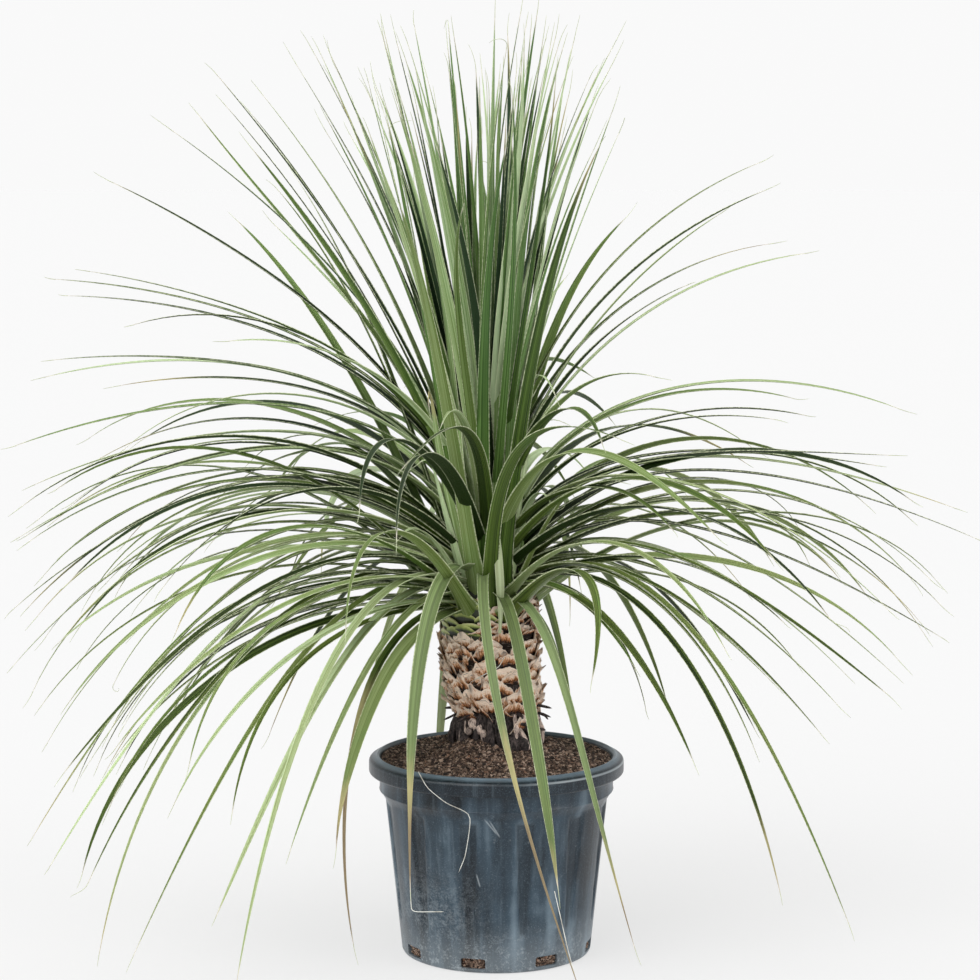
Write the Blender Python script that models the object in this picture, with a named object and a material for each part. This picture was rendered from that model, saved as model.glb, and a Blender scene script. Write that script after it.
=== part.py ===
"""Potted mexican grass tree: a short scaly trunk with a crown of long arching leaves, in a plastic nursery pot.

Metres, +Z up. The origin is the centre of the pot's underside, and the front of the plant is -Y.
"""

import math
import random
from dataclasses import dataclass

import bmesh
import bpy
import numpy as np
from mathutils import Vector

# Fit between pieces that touch
GAP = 0.0003

# Pot
POT_HEIGHT = 0.2665
RIM_RADIUS = 0.170
BASE_RADIUS = 0.126
FOOT_ROUND = 0.004
SHOULDER_RADIUS = 0.148
SHOULDER_HEIGHT = 0.208
BAND_RADIUS = 0.1556
BAND_BOTTOM = 0.2200
LIP_BOTTOM = 0.2415
LIP_ROUND = 0.0055
LIP_FLAT = 0.0125
POT_WALL = 0.0018
POT_FLOOR = 0.003
FLUTES = 12
FLUTE_DEPTH = 0.003
FLUTE_BOTTOM = 0.050
FLUTE_TOP = 0.205
FLUTE_TOP_ANGLE = 11.5
FLUTE_BOTTOM_ANGLE = 5.0
FLUTE_EDGE_ANGLE = 1.3
FLUTE_RUNOUT = 0.004
WINDOWS = 8
WINDOW_WIDTH = 0.033
WINDOW_BOTTOM = 0.006
WINDOW_TOP = 0.020
WINDOW_CUT_DEPTH = 0.024
WINDOW_FIRST_BEARING = -104.0

# Soil
SOIL_HEIGHT = 0.261
SOIL_MOUND = 0.019
MOUND_INNER, MOUND_OUTER = 0.060, 0.135
SOIL_BAND_HEIGHT = 0.2245
SOIL_RIPPLE = 0.0022
SOIL_SIDES = 48

# Trunk
TRUNK_BURIED_BOTTOM = 0.140
TRUNK_BURIED_RADIUS = 0.046
TRUNK_FOOT = 0.312
TRUNK_TOP = 0.4305
TRUNK_BURIED_TOP_RADIUS = 0.0525
TRUNK_WAIST_RADIUS = 0.0545
TRUNK_WAIST_HEIGHT = 0.028
TRUNK_RADIUS = 0.0625
LEAN_BOTTOM, LEAN_TOP = 0.31, 0.44
SCALES_ROUND = 13
TRUNK_ROWS = 8
SCALE_STAND = 0.0065
SCALE_LIP = 0.0014
SCALE_TUCK = 0.0010
SCALE_NOTCH_STAND = 0.0008
SCALE_NOTCH_RISE = 0.25
SCALE_TIP_RISE = 0.72, 0.84
TRUNK_SEED = 21
ROOT_STUBS = 14
ROOT_STUB_START = 0.040
ROOT_STUB_REACH = 0.066, 0.078
ROOT_STUB_LOW, ROOT_STUB_HIGH = 0.287, 0.311
ROOT_STUB_DROP = 0.002, 0.012
ROOT_STUB_THICKNESS = 0.0028, 0.0042

# Crown, from which the leaves grow
CROWN_X = -0.010
COLLAR_RADIUS = 0.061
COLLAR_FOOT_RADIUS = 0.0565
COLLAR_ROWS = 3
COLLAR_TOP = 0.476
SHEATH_ROWS = 2
SHEATH_TOP = 0.550
SHEATH_TOP_RADIUS = 0.046
CORE_TOP = 0.800
CORE_MIDDLE_RADIUS = 0.034
CORE_TOP_RADIUS = 0.012
ROOT_LOW, ROOT_HIGH = 0.452, 0.545
ROOT_LOW_RADIUS, ROOT_HIGH_RADIUS = 0.040, 0.006
GOLDEN_ANGLE = 137.508

# Leaves
LEAF_WIDTH = 0.022
UPRIGHT_LENGTH = 0.70
ARCHING_LENGTH = 0.69
KEEL_DEPTH = 0.0016
BLADE_ROOT_SHARE = 0.42
UPRIGHT_STATIONS = (0.0, 0.34, 0.70, 1.0)
ARCHING_STATIONS = (0.0, 0.12, 0.27, 0.43, 0.60, 0.79, 1.0)
UPRIGHT_LEAVES = 54
ARCHING_LEAVES = 58
LEAF_SEED = 7


def clear_scene():
    for obj in list(bpy.data.objects):
        bpy.data.objects.remove(obj, do_unlink=True)


def finish(name, colour, roughness):
    material = bpy.data.materials.new(name)
    material.use_nodes = True
    shader = material.node_tree.nodes["Principled BSDF"]
    shader.inputs["Base Color"].default_value = (*colour, 1.0)
    shader.inputs["Roughness"].default_value = roughness
    shader.inputs["Metallic"].default_value = 0.0
    return material


def object_from(name, points, faces, material, parent=None):
    mesh = bpy.data.meshes.new(name)
    mesh.from_pydata([tuple(p) for p in points], [], faces)
    mesh.validate()
    mesh.materials.append(material)
    obj = bpy.data.objects.new(name, mesh)
    obj.parent = parent
    bpy.context.scene.collection.objects.link(obj)
    face_outward(obj)
    return obj


def face_outward(obj):
    bm = bmesh.new()
    bm.from_mesh(obj.data)
    bmesh.ops.recalc_face_normals(bm, faces=bm.faces)
    bm.to_mesh(obj.data)
    bm.free()


def apply_modifiers(obj):
    """Replace the object's mesh by the one that its modifiers make."""
    graph = bpy.context.evaluated_depsgraph_get()
    made = bpy.data.meshes.new_from_object(obj.evaluated_get(graph))
    obj.modifiers.clear()
    obj.data = made


def rings_to_solid(rings):
    """Points and faces of a closed body through equal rings, with its two ends capped."""
    count = len(rings[0])
    points = [p for ring in rings for p in ring]
    faces = []
    for level in range(len(rings) - 1):
        for k in range(count):
            a = level * count + k
            b = level * count + (k + 1) % count
            faces.append((a, b, b + count, a + count))
    faces.append(tuple(reversed(range(count))))
    faces.append(tuple(range(len(points) - count, len(points))))
    return points, faces


def blend(low, high, share):
    return low + (high - low) * share


# Pot

def body_radius(z):
    """Radius of the tapered wall at a height, measured on the ribs between the flutes."""
    return blend(BASE_RADIUS, SHOULDER_RADIUS, z / SHOULDER_HEIGHT)


def inner_radius(z):
    """Radius of the smooth inside, which leaves one wall thickness behind the deepest part of a flute."""
    return body_radius(z) - FLUTE_DEPTH - POT_WALL


def flute_columns(z):
    """Angle in degrees and depth of each column of the fluted wall at a height."""
    share = (z - FLUTE_BOTTOM) / (FLUTE_TOP - FLUTE_BOTTOM)
    share = min(1.0, max(0.0, share))
    half = 0.5 * blend(FLUTE_BOTTOM_ANGLE, FLUTE_TOP_ANGLE, share)
    pitch = 360.0 / FLUTES
    columns = []
    for k in range(FLUTES):
        middle = (k + 0.5) * pitch
        columns += [
            (middle - pitch / 3, 0.0),
            (middle - half, 0.0),
            (middle - half + FLUTE_EDGE_ANGLE, FLUTE_DEPTH),
            (middle + half - FLUTE_EDGE_ANGLE, FLUTE_DEPTH),
            (middle + half, 0.0),
            (middle + pitch / 3, 0.0),
        ]
    return columns


def pot_ring(z, radius, fluted=False):
    ring = []
    for angle, depth in flute_columns(z):
        r = radius - (depth if fluted else 0.0)
        a = math.radians(angle)
        ring.append(Vector((r * math.cos(a), r * math.sin(a), z)))
    return ring


def lip_profile():
    """The rolled rim as radius and height, from under its outer edge over the top to the inside."""
    top = POT_HEIGHT
    return [
        (BAND_RADIUS, LIP_BOTTOM),
        (RIM_RADIUS - 0.6 * LIP_ROUND, LIP_BOTTOM + 0.2 * LIP_ROUND),
        (RIM_RADIUS, LIP_BOTTOM + 1.4 * LIP_ROUND),
        (RIM_RADIUS - 0.2 * LIP_ROUND, top - 1.1 * LIP_ROUND),
        (RIM_RADIUS - LIP_ROUND, top - 0.2 * LIP_ROUND),
        (RIM_RADIUS - LIP_FLAT, top),
        (BAND_RADIUS - POT_WALL, top - 0.8 * LIP_ROUND),
    ]


def build_pot(parent):
    rings = [
        pot_ring(0.0, BASE_RADIUS - FOOT_ROUND),
        pot_ring(0.3 * FOOT_ROUND, BASE_RADIUS - 0.3 * FOOT_ROUND),
        pot_ring(FOOT_ROUND, body_radius(FOOT_ROUND)),
        pot_ring(FLUTE_BOTTOM - FLUTE_RUNOUT, body_radius(FLUTE_BOTTOM - FLUTE_RUNOUT)),
        pot_ring(FLUTE_BOTTOM, body_radius(FLUTE_BOTTOM), fluted=True),
        pot_ring(FLUTE_TOP, body_radius(FLUTE_TOP), fluted=True),
        pot_ring(SHOULDER_HEIGHT, SHOULDER_RADIUS),
        pot_ring(BAND_BOTTOM, BAND_RADIUS),
    ]
    rings += [pot_ring(z, radius) for radius, z in lip_profile()]
    rings += [
        pot_ring(BAND_BOTTOM + 2 * POT_WALL, BAND_RADIUS - POT_WALL),
        pot_ring(SHOULDER_HEIGHT, inner_radius(SHOULDER_HEIGHT)),
        pot_ring(POT_FLOOR, inner_radius(POT_FLOOR)),
    ]
    points, faces = rings_to_solid(rings)
    material = finish("pot_plastic", (0.062, 0.092, 0.122), 0.55)
    pot = object_from("pot", points, faces, material, parent)
    cut_windows(pot)
    return pot


def cut_windows(pot):
    """Cut the drain windows through the wall at the foot of the pot."""
    cutters = bpy.data.collections.new("window_cutters")
    bpy.context.scene.collection.children.link(cutters)
    height = WINDOW_TOP - WINDOW_BOTTOM
    for k in range(WINDOWS):
        bm = bmesh.new()
        bmesh.ops.create_cube(bm, size=1.0)
        bmesh.ops.scale(bm, vec=(WINDOW_CUT_DEPTH, WINDOW_WIDTH, height), verts=bm.verts)
        mesh = bpy.data.meshes.new("window_cutter")
        bm.to_mesh(mesh)
        bm.free()
        cutter = bpy.data.objects.new("window_cutter", mesh)
        bearing = math.radians(WINDOW_FIRST_BEARING + k * 360.0 / WINDOWS)
        reach = inner_radius(WINDOW_BOTTOM)
        cutter.location = (reach * math.cos(bearing), reach * math.sin(bearing), WINDOW_BOTTOM + height / 2)
        cutter.rotation_euler = (0.0, 0.0, bearing)
        cutter.hide_render = True
        cutter.display_type = "WIRE"
        cutters.objects.link(cutter)
    modifier = pot.modifiers.new("windows", "BOOLEAN")
    modifier.operation = "DIFFERENCE"
    modifier.operand_type = "COLLECTION"
    modifier.collection = cutters
    modifier.solver = "EXACT"
    apply_modifiers(pot)
    remove_collection(cutters)


def remove_collection(collection):
    for obj in list(collection.objects):
        bpy.data.objects.remove(obj, do_unlink=True)
    bpy.data.collections.remove(collection)


# Soil

def soil_surface(x, y):
    """Height of the uneven top of the soil, which rises to a low mound at the trunk."""
    swell = math.sin(31.0 * x + 0.7) * math.cos(27.0 * y - 0.4) + 0.5 * math.sin(61.0 * x - 47.0 * y)
    share = (MOUND_OUTER - math.hypot(x, y)) / (MOUND_OUTER - MOUND_INNER)
    share = min(1.0, max(0.0, share))
    return SOIL_HEIGHT + SOIL_MOUND * share * share * (3 - 2 * share) + SOIL_RIPPLE * swell / 1.5


def soil_hole_radius(z):
    """Radius of the plain hole that the buried end of the trunk stands in."""
    share = (z - TRUNK_BURIED_BOTTOM) / (TRUNK_FOOT - TRUNK_BURIED_BOTTOM)
    return buried_radius(share) + GAP


def build_soil(parent):
    angles = [2 * math.pi * k / SOIL_SIDES for k in range(SOIL_SIDES)]
    flat = 1.0 / math.cos(math.pi / SOIL_SIDES)
    hole_bottom = TRUNK_BURIED_BOTTOM - GAP

    def ring(radius, z=None):
        spots = [(radius * math.cos(a), radius * math.sin(a)) for a in angles]
        return [Vector((x, y, soil_surface(x, y) if z is None else z)) for x, y in spots]

    floor = POT_FLOOR + GAP
    facet = math.cos(math.pi / (3 * FLUTES))
    outer_low = inner_radius(floor) * facet - GAP
    outer_high = inner_radius(SHOULDER_HEIGHT) * facet - GAP
    band = (BAND_RADIUS - POT_WALL) * facet - GAP
    top_hole = soil_hole_radius(SOIL_HEIGHT + SOIL_MOUND) * flat
    rings = [
        ring(outer_low, floor),
        ring(outer_high, SHOULDER_HEIGHT),
        ring(band, SOIL_BAND_HEIGHT),
        ring(band),
    ]
    for share in (0.75, 0.5, 0.25):
        rings.append(ring(blend(top_hole, band, share)))
    rings.append(ring(top_hole))
    rings.append(ring(soil_hole_radius(TRUNK_BURIED_BOTTOM) * flat, hole_bottom))
    points, faces = rings_to_solid(rings)
    return object_from("soil", points, faces, finish("peat", (0.030, 0.019, 0.011), 0.95), parent)


# Trunk

def buried_radius(share):
    return blend(TRUNK_BURIED_RADIUS, TRUNK_BURIED_TOP_RADIUS, min(1.0, share))


def trunk_middle(z):
    """X of the trunk's axis: it stands upright in the soil and leans a little to the left above."""
    share = max(0.0, (z - LEAN_BOTTOM) / (LEAN_TOP - LEAN_BOTTOM))
    return CROWN_X * share * (1.6 - 0.6 * share) if share < 1.0 else CROWN_X


def trunk_radius(z):
    """Radius under the scales: a waist at the foot, then nearly straight."""
    share = min(1.0, max(0.0, (z - TRUNK_FOOT) / TRUNK_WAIST_HEIGHT))
    return blend(TRUNK_WAIST_RADIUS, TRUNK_RADIUS, math.sin(0.5 * math.pi * share))


def scale_rows(rng, bottom, top, rows, radius_at, middle_at):
    """Rings of a stem covered by rows of overlapping pointed leaf bases, each row turned half a scale."""
    columns = 2 * SCALES_ROUND
    pitch = (top - bottom) / rows
    rings = []
    for row in range(rows):
        low = bottom + row * pitch
        foot, lip, rim = [], [], []
        for column in range(columns):
            angle = 2 * math.pi * column / columns
            tip = (column + row) % 2 == 0
            stand = SCALE_STAND * rng.uniform(0.75, 1.3) if tip else SCALE_NOTCH_STAND
            rise = pitch * (rng.uniform(*SCALE_TIP_RISE) if tip else SCALE_NOTCH_RISE)
            direction = Vector((math.cos(angle), math.sin(angle), 0.0))
            for ring, out, z in (
                (foot, -SCALE_TUCK, low),
                (lip, stand, low + rise),
                (rim, stand - SCALE_LIP, low + rise + SCALE_LIP),
            ):
                centre = Vector((middle_at(z), 0.0, z))
                ring.append(centre + direction * (radius_at(z) + out))
        rings += [foot, lip, rim]
    return rings


def plain_ring(radius, z, middle):
    columns = 2 * SCALES_ROUND
    angles = [2 * math.pi * k / columns for k in range(columns)]
    return [Vector((middle + radius * math.cos(a), radius * math.sin(a), z)) for a in angles]


def build_trunk(parent):
    rng = random.Random(TRUNK_SEED)
    rings = [
        plain_ring(TRUNK_BURIED_RADIUS, TRUNK_BURIED_BOTTOM, 0.0),
        plain_ring(buried_radius(0.9), blend(TRUNK_BURIED_BOTTOM, TRUNK_FOOT, 0.9), 0.0),
    ]
    cap_edge = 2 * SCALE_TUCK
    rings += scale_rows(rng, TRUNK_FOOT, TRUNK_TOP - cap_edge, TRUNK_ROWS, trunk_radius, trunk_middle)
    rings.append(plain_ring(TRUNK_RADIUS - cap_edge, TRUNK_TOP, CROWN_X))
    points, faces = rings_to_solid(rings)
    bark = finish("dry_leaf_bases", (0.300, 0.170, 0.085), 0.85)
    trunk = object_from("trunk", points, faces, bark, parent)
    stubs = bpy.data.collections.new("root_stubs")
    bpy.context.scene.collection.children.link(stubs)
    for k in range(ROOT_STUBS):
        stubs.objects.link(root_stub(rng, k))
    join_all(trunk, stubs)
    return trunk


def root_stub(rng, number):
    """A short dry root stub that sticks out of the foot of the trunk, just clear of the soil."""
    bearing = math.radians(number * 360.0 / ROOT_STUBS + rng.uniform(-10, 10))
    out = Vector((math.cos(bearing), math.sin(bearing), 0.0))
    side = Vector((-out.y, out.x, 0.0))
    start = out * ROOT_STUB_START + Vector((0.0, 0.0, rng.uniform(ROOT_STUB_LOW, ROOT_STUB_HIGH)))
    end = out * rng.uniform(*ROOT_STUB_REACH) + side * rng.uniform(-0.006, 0.006)
    end.z = max(ROOT_STUB_LOW, start.z - rng.uniform(*ROOT_STUB_DROP))
    thick = rng.uniform(*ROOT_STUB_THICKNESS)
    up = Vector((0.0, 0.0, 1.0))
    rings = []
    for spot, radius in ((start, thick), (end, 0.55 * thick)):
        rings.append([spot + side * radius, spot + up * radius, spot - side * radius, spot - up * radius])
    points, faces = rings_to_solid(rings)
    mesh = bpy.data.meshes.new("root_stub")
    mesh.from_pydata([tuple(p) for p in points], [], faces)
    obj = bpy.data.objects.new("root_stub", mesh)
    face_outward(obj)
    return obj


def join_all(body, collection):
    """Fuse the objects of a collection to a body by one union, and drop what doesn't hold to it."""
    modifier = body.modifiers.new("join", "BOOLEAN")
    modifier.operation = "UNION"
    modifier.operand_type = "COLLECTION"
    modifier.collection = collection
    modifier.solver = "MANIFOLD"
    apply_modifiers(body)
    remove_collection(collection)
    keep_largest_shell(body)


def keep_largest_shell(obj):
    bm = bmesh.new()
    bm.from_mesh(obj.data)
    left = set(bm.verts)
    shells = []
    while left:
        seed = left.pop()
        shell = {seed}
        edge_of_search = [seed]
        while edge_of_search:
            vert = edge_of_search.pop()
            for edge in vert.link_edges:
                other = edge.other_vert(vert)
                if other not in shell:
                    shell.add(other)
                    edge_of_search.append(other)
        left -= shell
        shells.append(shell)
    shells.sort(key=len)
    scrap = [vert for shell in shells[:-1] for vert in shell]
    bmesh.ops.delete(bm, geom=scrap, context="VERTS")
    bm.to_mesh(obj.data)
    bm.free()


# Leaves

@dataclass
class Leaf:
    """A leaf in an upright plane through the crown's axis.

    It leaves the crown at bearing and rise, and ends at reach from the axis and at height, where it points
    fall degrees above the horizontal. hang moves its bend towards the root. swing carries the tip sideways,
    and roll and twist turn the blade about its own line. Angles are in degrees.
    """

    bearing: float
    rise: float
    fall: float
    reach: float
    height: float
    hang: float = 0.0
    swing: float = 0.0
    roll: float = 0.0
    twist: float = 0.0


def root_of(rise):
    share = min(1.0, max(0.0, rise / 90.0))
    return blend(ROOT_LOW_RADIUS, ROOT_HIGH_RADIUS, share), blend(ROOT_LOW, ROOT_HIGH, share)


def arc_leaf(bearing, rise, fall, length, **more):
    """A leaf of a given length that bends evenly from rise to fall."""
    start, low = root_of(rise)
    bend = math.radians(max(rise - fall, 1.0))
    chord = length * math.sin(bend / 2) / (bend / 2)
    slope = math.radians(rise) - bend / 2
    return Leaf(bearing, rise, fall, start + chord * math.cos(slope), low + chord * math.sin(slope), **more)


def leaf_line(leaf, stations):
    """Points of a leaf's middle line at shares of its length, about the crown's axis, with their bearings."""
    start, low = root_of(leaf.rise)
    rise, fall = math.radians(leaf.rise), math.radians(leaf.fall)
    chord = math.hypot(leaf.reach - start, leaf.height - low)
    bend = max(abs(rise - fall), 0.02)
    handle = 4 / 3 * math.tan(bend / 4) * chord / (2 * math.sin(bend / 2))
    first, last = handle * (1 - leaf.hang), handle * (1 + leaf.hang)
    corners = np.array([
        (start, low),
        (start + first * math.cos(rise), low + first * math.sin(rise)),
        (leaf.reach - last * math.cos(fall), leaf.height - last * math.sin(fall)),
        (leaf.reach, leaf.height),
    ])
    t = np.linspace(0.0, 1.0, 81)[:, None]
    weights = ((1 - t) ** 3, 3 * (1 - t) ** 2 * t, 3 * (1 - t) * t * t, t ** 3)
    curve = sum(weight * corner for weight, corner in zip(weights, corners))
    run = np.concatenate([[0.0], np.cumsum(np.hypot(*np.diff(curve, axis=0).T))])
    want = np.array(stations) * run[-1]
    out = np.interp(want, run, curve[:, 0])
    up = np.interp(want, run, curve[:, 1])
    bearings = np.radians(leaf.bearing + leaf.swing * np.array(stations) ** 1.5)
    line = np.stack([out * np.cos(bearings), out * np.sin(bearings), up], axis=1)
    return line, bearings


def blade_width(share):
    """Width of a blade at a share of its length: slim at the root, then tapering to a thread."""
    root = min(1.0, blend(BLADE_ROOT_SHARE, 1.0, share / 0.2))
    return LEAF_WIDTH * root * (1 - share ** 1.6) ** 0.9


def build_blade(leaf, stations):
    """One closed blade with a section at each station: flat above, with a keel below."""
    fine = np.linspace(0.0, 1.0, 61)
    line, bearings = leaf_line(leaf, fine)
    headings = np.gradient(line, axis=0)
    rings = []
    for station in stations[:-1]:
        k = int(round(station * (len(fine) - 1)))
        heading = Vector(headings[k]).normalized()
        across = Vector((-math.sin(bearings[k]), math.cos(bearings[k]), 0.0))
        above = heading.cross(across)
        turn = math.radians(leaf.roll + leaf.twist * station)
        side = across * math.cos(turn) + above * math.sin(turn)
        half = side * blade_width(station) / 2
        middle = Vector(line[k])
        keel = middle - side.cross(heading) * KEEL_DEPTH
        rings.append((middle - half, middle + half, keel))
    points = [p for ring in rings for p in ring] + [Vector(line[-1])]
    faces = [(0, 1, 2)]
    for level in range(len(rings) - 1):
        for k in range(3):
            a, b = 3 * level + k, 3 * level + (k + 1) % 3
            faces += [(a, a + 3, b + 3), (a, b + 3, b)]
    last = 3 * (len(rings) - 1)
    faces += [(last + k, len(points) - 1, last + (k + 1) % 3) for k in range(3)]
    mesh = bpy.data.meshes.new("blade")
    mesh.from_pydata([tuple(p) for p in points], [], faces)
    blade = bpy.data.objects.new("blade", mesh)
    face_outward(blade)
    return blade


def outstanding_leaves():
    """The leaves that give the plant its outline, each placed by hand."""
    upper_left = [
        Leaf(170, 76, 24, 0.53, 1.03),
        Leaf(190, 78, 50, 0.365, 1.175),
        Leaf(184, 79, 34, 0.425, 1.10),
        Leaf(162, 75, 50, 0.425, 1.13),
        Leaf(150, 78, 38, 0.35, 0.975),
        Leaf(200, 81, 8, 0.55, 0.915),
        Leaf(180, 80, 3, 0.59, 0.898),
        Leaf(167, 78, 0, 0.61, 0.870),
        Leaf(190, 79, -18, 0.48, 0.835),
        Leaf(218, 80, -5, 0.42, 0.83),
    ]
    left = [
        Leaf(185, 78, -8, 0.587, 0.790),
        Leaf(173, 76, -15, 0.62, 0.760),
        Leaf(160, 76, -12, 0.56, 0.740),
        Leaf(187, 76, -20, 0.635, 0.679),
        Leaf(200, 76, -42, 0.50, 0.677),
        Leaf(178, 70, -25, 0.622, 0.615),
        Leaf(192, 68, -32, 0.63, 0.562),
        Leaf(172, 66, -35, 0.65, 0.536),
        Leaf(196, 60, -42, 0.64, 0.475),
        Leaf(184, 56, -52, 0.64, 0.374),
        Leaf(165, 56, -40, 0.625, 0.50),
        Leaf(180, 48, -60, 0.60, 0.26),
        Leaf(170, 56, -47, 0.655, 0.43),
    ]
    lower_left = [
        Leaf(190, 42, -60, 0.615, 0.157),
        Leaf(198, 38, -58, 0.60, 0.14),
        Leaf(207, 30, -62, 0.57, 0.137),
        Leaf(203, 28, -80, 0.54, 0.03, 0.2),
        Leaf(212, 30, -62, 0.53, 0.05, 0.2),
        Leaf(226, 33, -78, 0.45, 0.03, 0.1),
        Leaf(218, 28, -60, 0.44, 0.10, 0.2),
        Leaf(226, 25, -65, 0.36, 0.18, 0.2),
        Leaf(186, 34, -64, 0.49, 0.22),
        Leaf(178, 46, -60, 0.55, 0.229),
        Leaf(164, 42, -65, 0.50, 0.207),
        Leaf(206, 36, -50, 0.60, 0.28),
    ]
    upper_right = [
        Leaf(8, 87, 20, 0.38, 1.055, 0.1),
        Leaf(-8, 86, 20, 0.375, 1.02, 0.15),
        Leaf(3, 82, 30, 0.32, 0.99),
        Leaf(14, 86, 4, 0.405, 0.94, 0.1),
        Leaf(-3, 84, 8, 0.43, 0.935, 0.1),
        Leaf(-30, 82, 22, 0.30, 0.90),
    ]
    right = [
        Leaf(4, 78, -22, 0.565, 0.718),
        Leaf(-42, 80, -12, 0.29, 0.78),
        Leaf(20, 76, -16, 0.46, 0.725),
        Leaf(-20, 72, -10, 0.40, 0.72),
        Leaf(15, 70, -14, 0.46, 0.705),
        Leaf(-10, 66, 0, 0.54, 0.675),
        Leaf(5, 62, -20, 0.645, 0.583),
        Leaf(-6, 58, -24, 0.655, 0.555),
        Leaf(10, 68, -8, 0.55, 0.640),
        Leaf(-30, 66, -42, 0.58, 0.49),
        Leaf(-55, 60, -32, 0.40, 0.60),
    ]
    lower_right = [
        Leaf(-2, 48, -30, 0.615, 0.415),
        Leaf(7, 52, -42, 0.56, 0.354),
        Leaf(-14, 44, -38, 0.54, 0.36),
        Leaf(13, 42, -45, 0.515, 0.34),
        Leaf(-7, 38, -48, 0.47, 0.33),
        Leaf(-19, 36, -48, 0.46, 0.31),
        Leaf(0, 42, -45, 0.38, 0.355),
        Leaf(-28, 36, -66, 0.52, 0.08),
        Leaf(-33, 32, -76, 0.44, 0.12),
        Leaf(-46, 28, -60, 0.37, 0.30),
        Leaf(-20, 30, -80, 0.22, 0.33),
        Leaf(-10, 36, -70, 0.36, 0.27),
    ]
    over_the_pot = [
        Leaf(-62, 22, -80, 0.30, 0.05, 0.1, 10),
        Leaf(-79.5, 24, -84, 0.285, 0.095, 0.1, 8),
        Leaf(-95, 36, -84, 0.36, 0.02, 0.15, 24),
        Leaf(-117, 42, -88, 0.255, 0.09, 0.1, 4),
        Leaf(-134, 8, -86, 0.30, 0.02, 0.15, 4),
        Leaf(-141, 12, -88, 0.27, 0.17, 0.15, 2),
        Leaf(112, 30, -88, 0.16, 0.285),
    ]
    looped = [
        Leaf(-148, 76, -80, 0.13, 0.62),
        Leaf(-125, 82, -70, 0.19, 0.70),
        Leaf(-50, 82, -62, 0.15, 0.72),
        Leaf(-38, 76, -35, 0.14, 0.68),
        Leaf(-55, 74, -84, 0.14, 0.54),
        Leaf(-155, 62, -75, 0.17, 0.50),
    ]
    behind = [
        Leaf(38, 34, -58, 0.50, 0.22),
        Leaf(58, 36, -62, 0.50, 0.24),
        Leaf(74, 30, -60, 0.47, 0.20),
        Leaf(88, 34, -66, 0.47, 0.17),
        Leaf(97, 40, -55, 0.53, 0.28),
        Leaf(112, 32, -60, 0.50, 0.22),
        Leaf(131, 34, -60, 0.50, 0.20),
        Leaf(148, 36, -56, 0.54, 0.25),
    ]
    left_side = upper_left + left + lower_left
    right_side = upper_right + right + lower_right
    return left_side + right_side + over_the_pot + looped + behind


def upright_leaves(rng):
    """The tight bunch in the middle of the crown, one leaf every golden angle."""
    leaves = []
    for k in range(UPRIGHT_LEAVES):
        age = (k + 0.5) / UPRIGHT_LEAVES
        rise = 89.5 - 13 * age + rng.uniform(-1.5, 1.5)
        bend = 2 + 14 * age ** 1.4 + rng.uniform(-2, 5)
        bearing = k * GOLDEN_ANGLE + rng.uniform(-8, 8)
        length = UPRIGHT_LENGTH * rng.uniform(0.84, 1.03)
        turns = {"swing": rng.uniform(-10, 10), "roll": rng.uniform(-15, 15), "twist": rng.uniform(-40, 40)}
        leaves.append(arc_leaf(bearing, rise, rise - bend, length, **turns))
    return leaves


def arching_leaves(rng):
    """The older leaves all round, which bend lower the older they are. The front below is left open."""
    leaves = []
    for k in range(ARCHING_LEAVES):
        age = (k + 0.5) / ARCHING_LEAVES
        bearing = (k + UPRIGHT_LEAVES) * GOLDEN_ANGLE
        bearing += 14 * math.sin(math.radians(2 * bearing)) + rng.uniform(-8, 8)
        towards_front = math.cos(math.radians(bearing + 90))
        if age > 0.5 and towards_front > 0.6:
            bearing += 180
        rise = 79 - 40 * age + rng.uniform(-4, 4)
        fall = 22 - 90 * age ** 0.7 + rng.uniform(-10, 10)
        length = ARCHING_LENGTH * rng.uniform(0.84, 1.02)
        turns = {"swing": rng.uniform(-14, 14), "roll": rng.uniform(-14, 14), "twist": rng.uniform(-40, 40)}
        leaves.append(arc_leaf(bearing, rise, fall, length, **turns))
    return leaves


def crown_rings(rng):
    """The growing tip: a collar and a sheath of green leaf bases, and a slim core among the upright leaves."""
    def sheath_radius(z):
        share = max(0.0, (z - COLLAR_TOP) / (SHEATH_TOP - COLLAR_TOP))
        return blend(COLLAR_RADIUS, SHEATH_TOP_RADIUS, min(1.0, share))

    def upright(z):
        return 0.0

    bottom = TRUNK_TOP + GAP
    rings = [plain_ring(COLLAR_FOOT_RADIUS, bottom, 0.0)]
    rings += scale_rows(rng, bottom + SCALE_TUCK, COLLAR_TOP, COLLAR_ROWS, sheath_radius, upright)
    rings += scale_rows(rng, COLLAR_TOP, SHEATH_TOP, SHEATH_ROWS, sheath_radius, upright)
    rings.append(plain_ring(CORE_MIDDLE_RADIUS, blend(SHEATH_TOP, CORE_TOP, 0.5), 0.0))
    rings.append(plain_ring(CORE_TOP_RADIUS, CORE_TOP, 0.0))
    return rings


def build_leaves(parent):
    rng = random.Random(LEAF_SEED)
    upright = upright_leaves(rng)
    arching = arching_leaves(rng) + outstanding_leaves()
    green = finish("leaf_green", (0.105, 0.190, 0.085), 0.5)
    points, faces = rings_to_solid(crown_rings(rng))
    crown = object_from("leaves", points, faces, green, parent)
    blades = bpy.data.collections.new("blades")
    bpy.context.scene.collection.children.link(blades)
    for leaf in upright:
        blades.objects.link(build_blade(leaf, UPRIGHT_STATIONS))
    for leaf in arching:
        blades.objects.link(build_blade(leaf, ARCHING_STATIONS))
    join_all(crown, blades)
    crown.location = (CROWN_X, 0.0, 0.0)
    return crown


def main():
    clear_scene()
    plant = bpy.data.objects.new("potted_grass_tree", None)
    bpy.context.scene.collection.objects.link(plant)
    build_pot(plant)
    build_soil(plant)
    build_trunk(plant)
    build_leaves(plant)


main()
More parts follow.
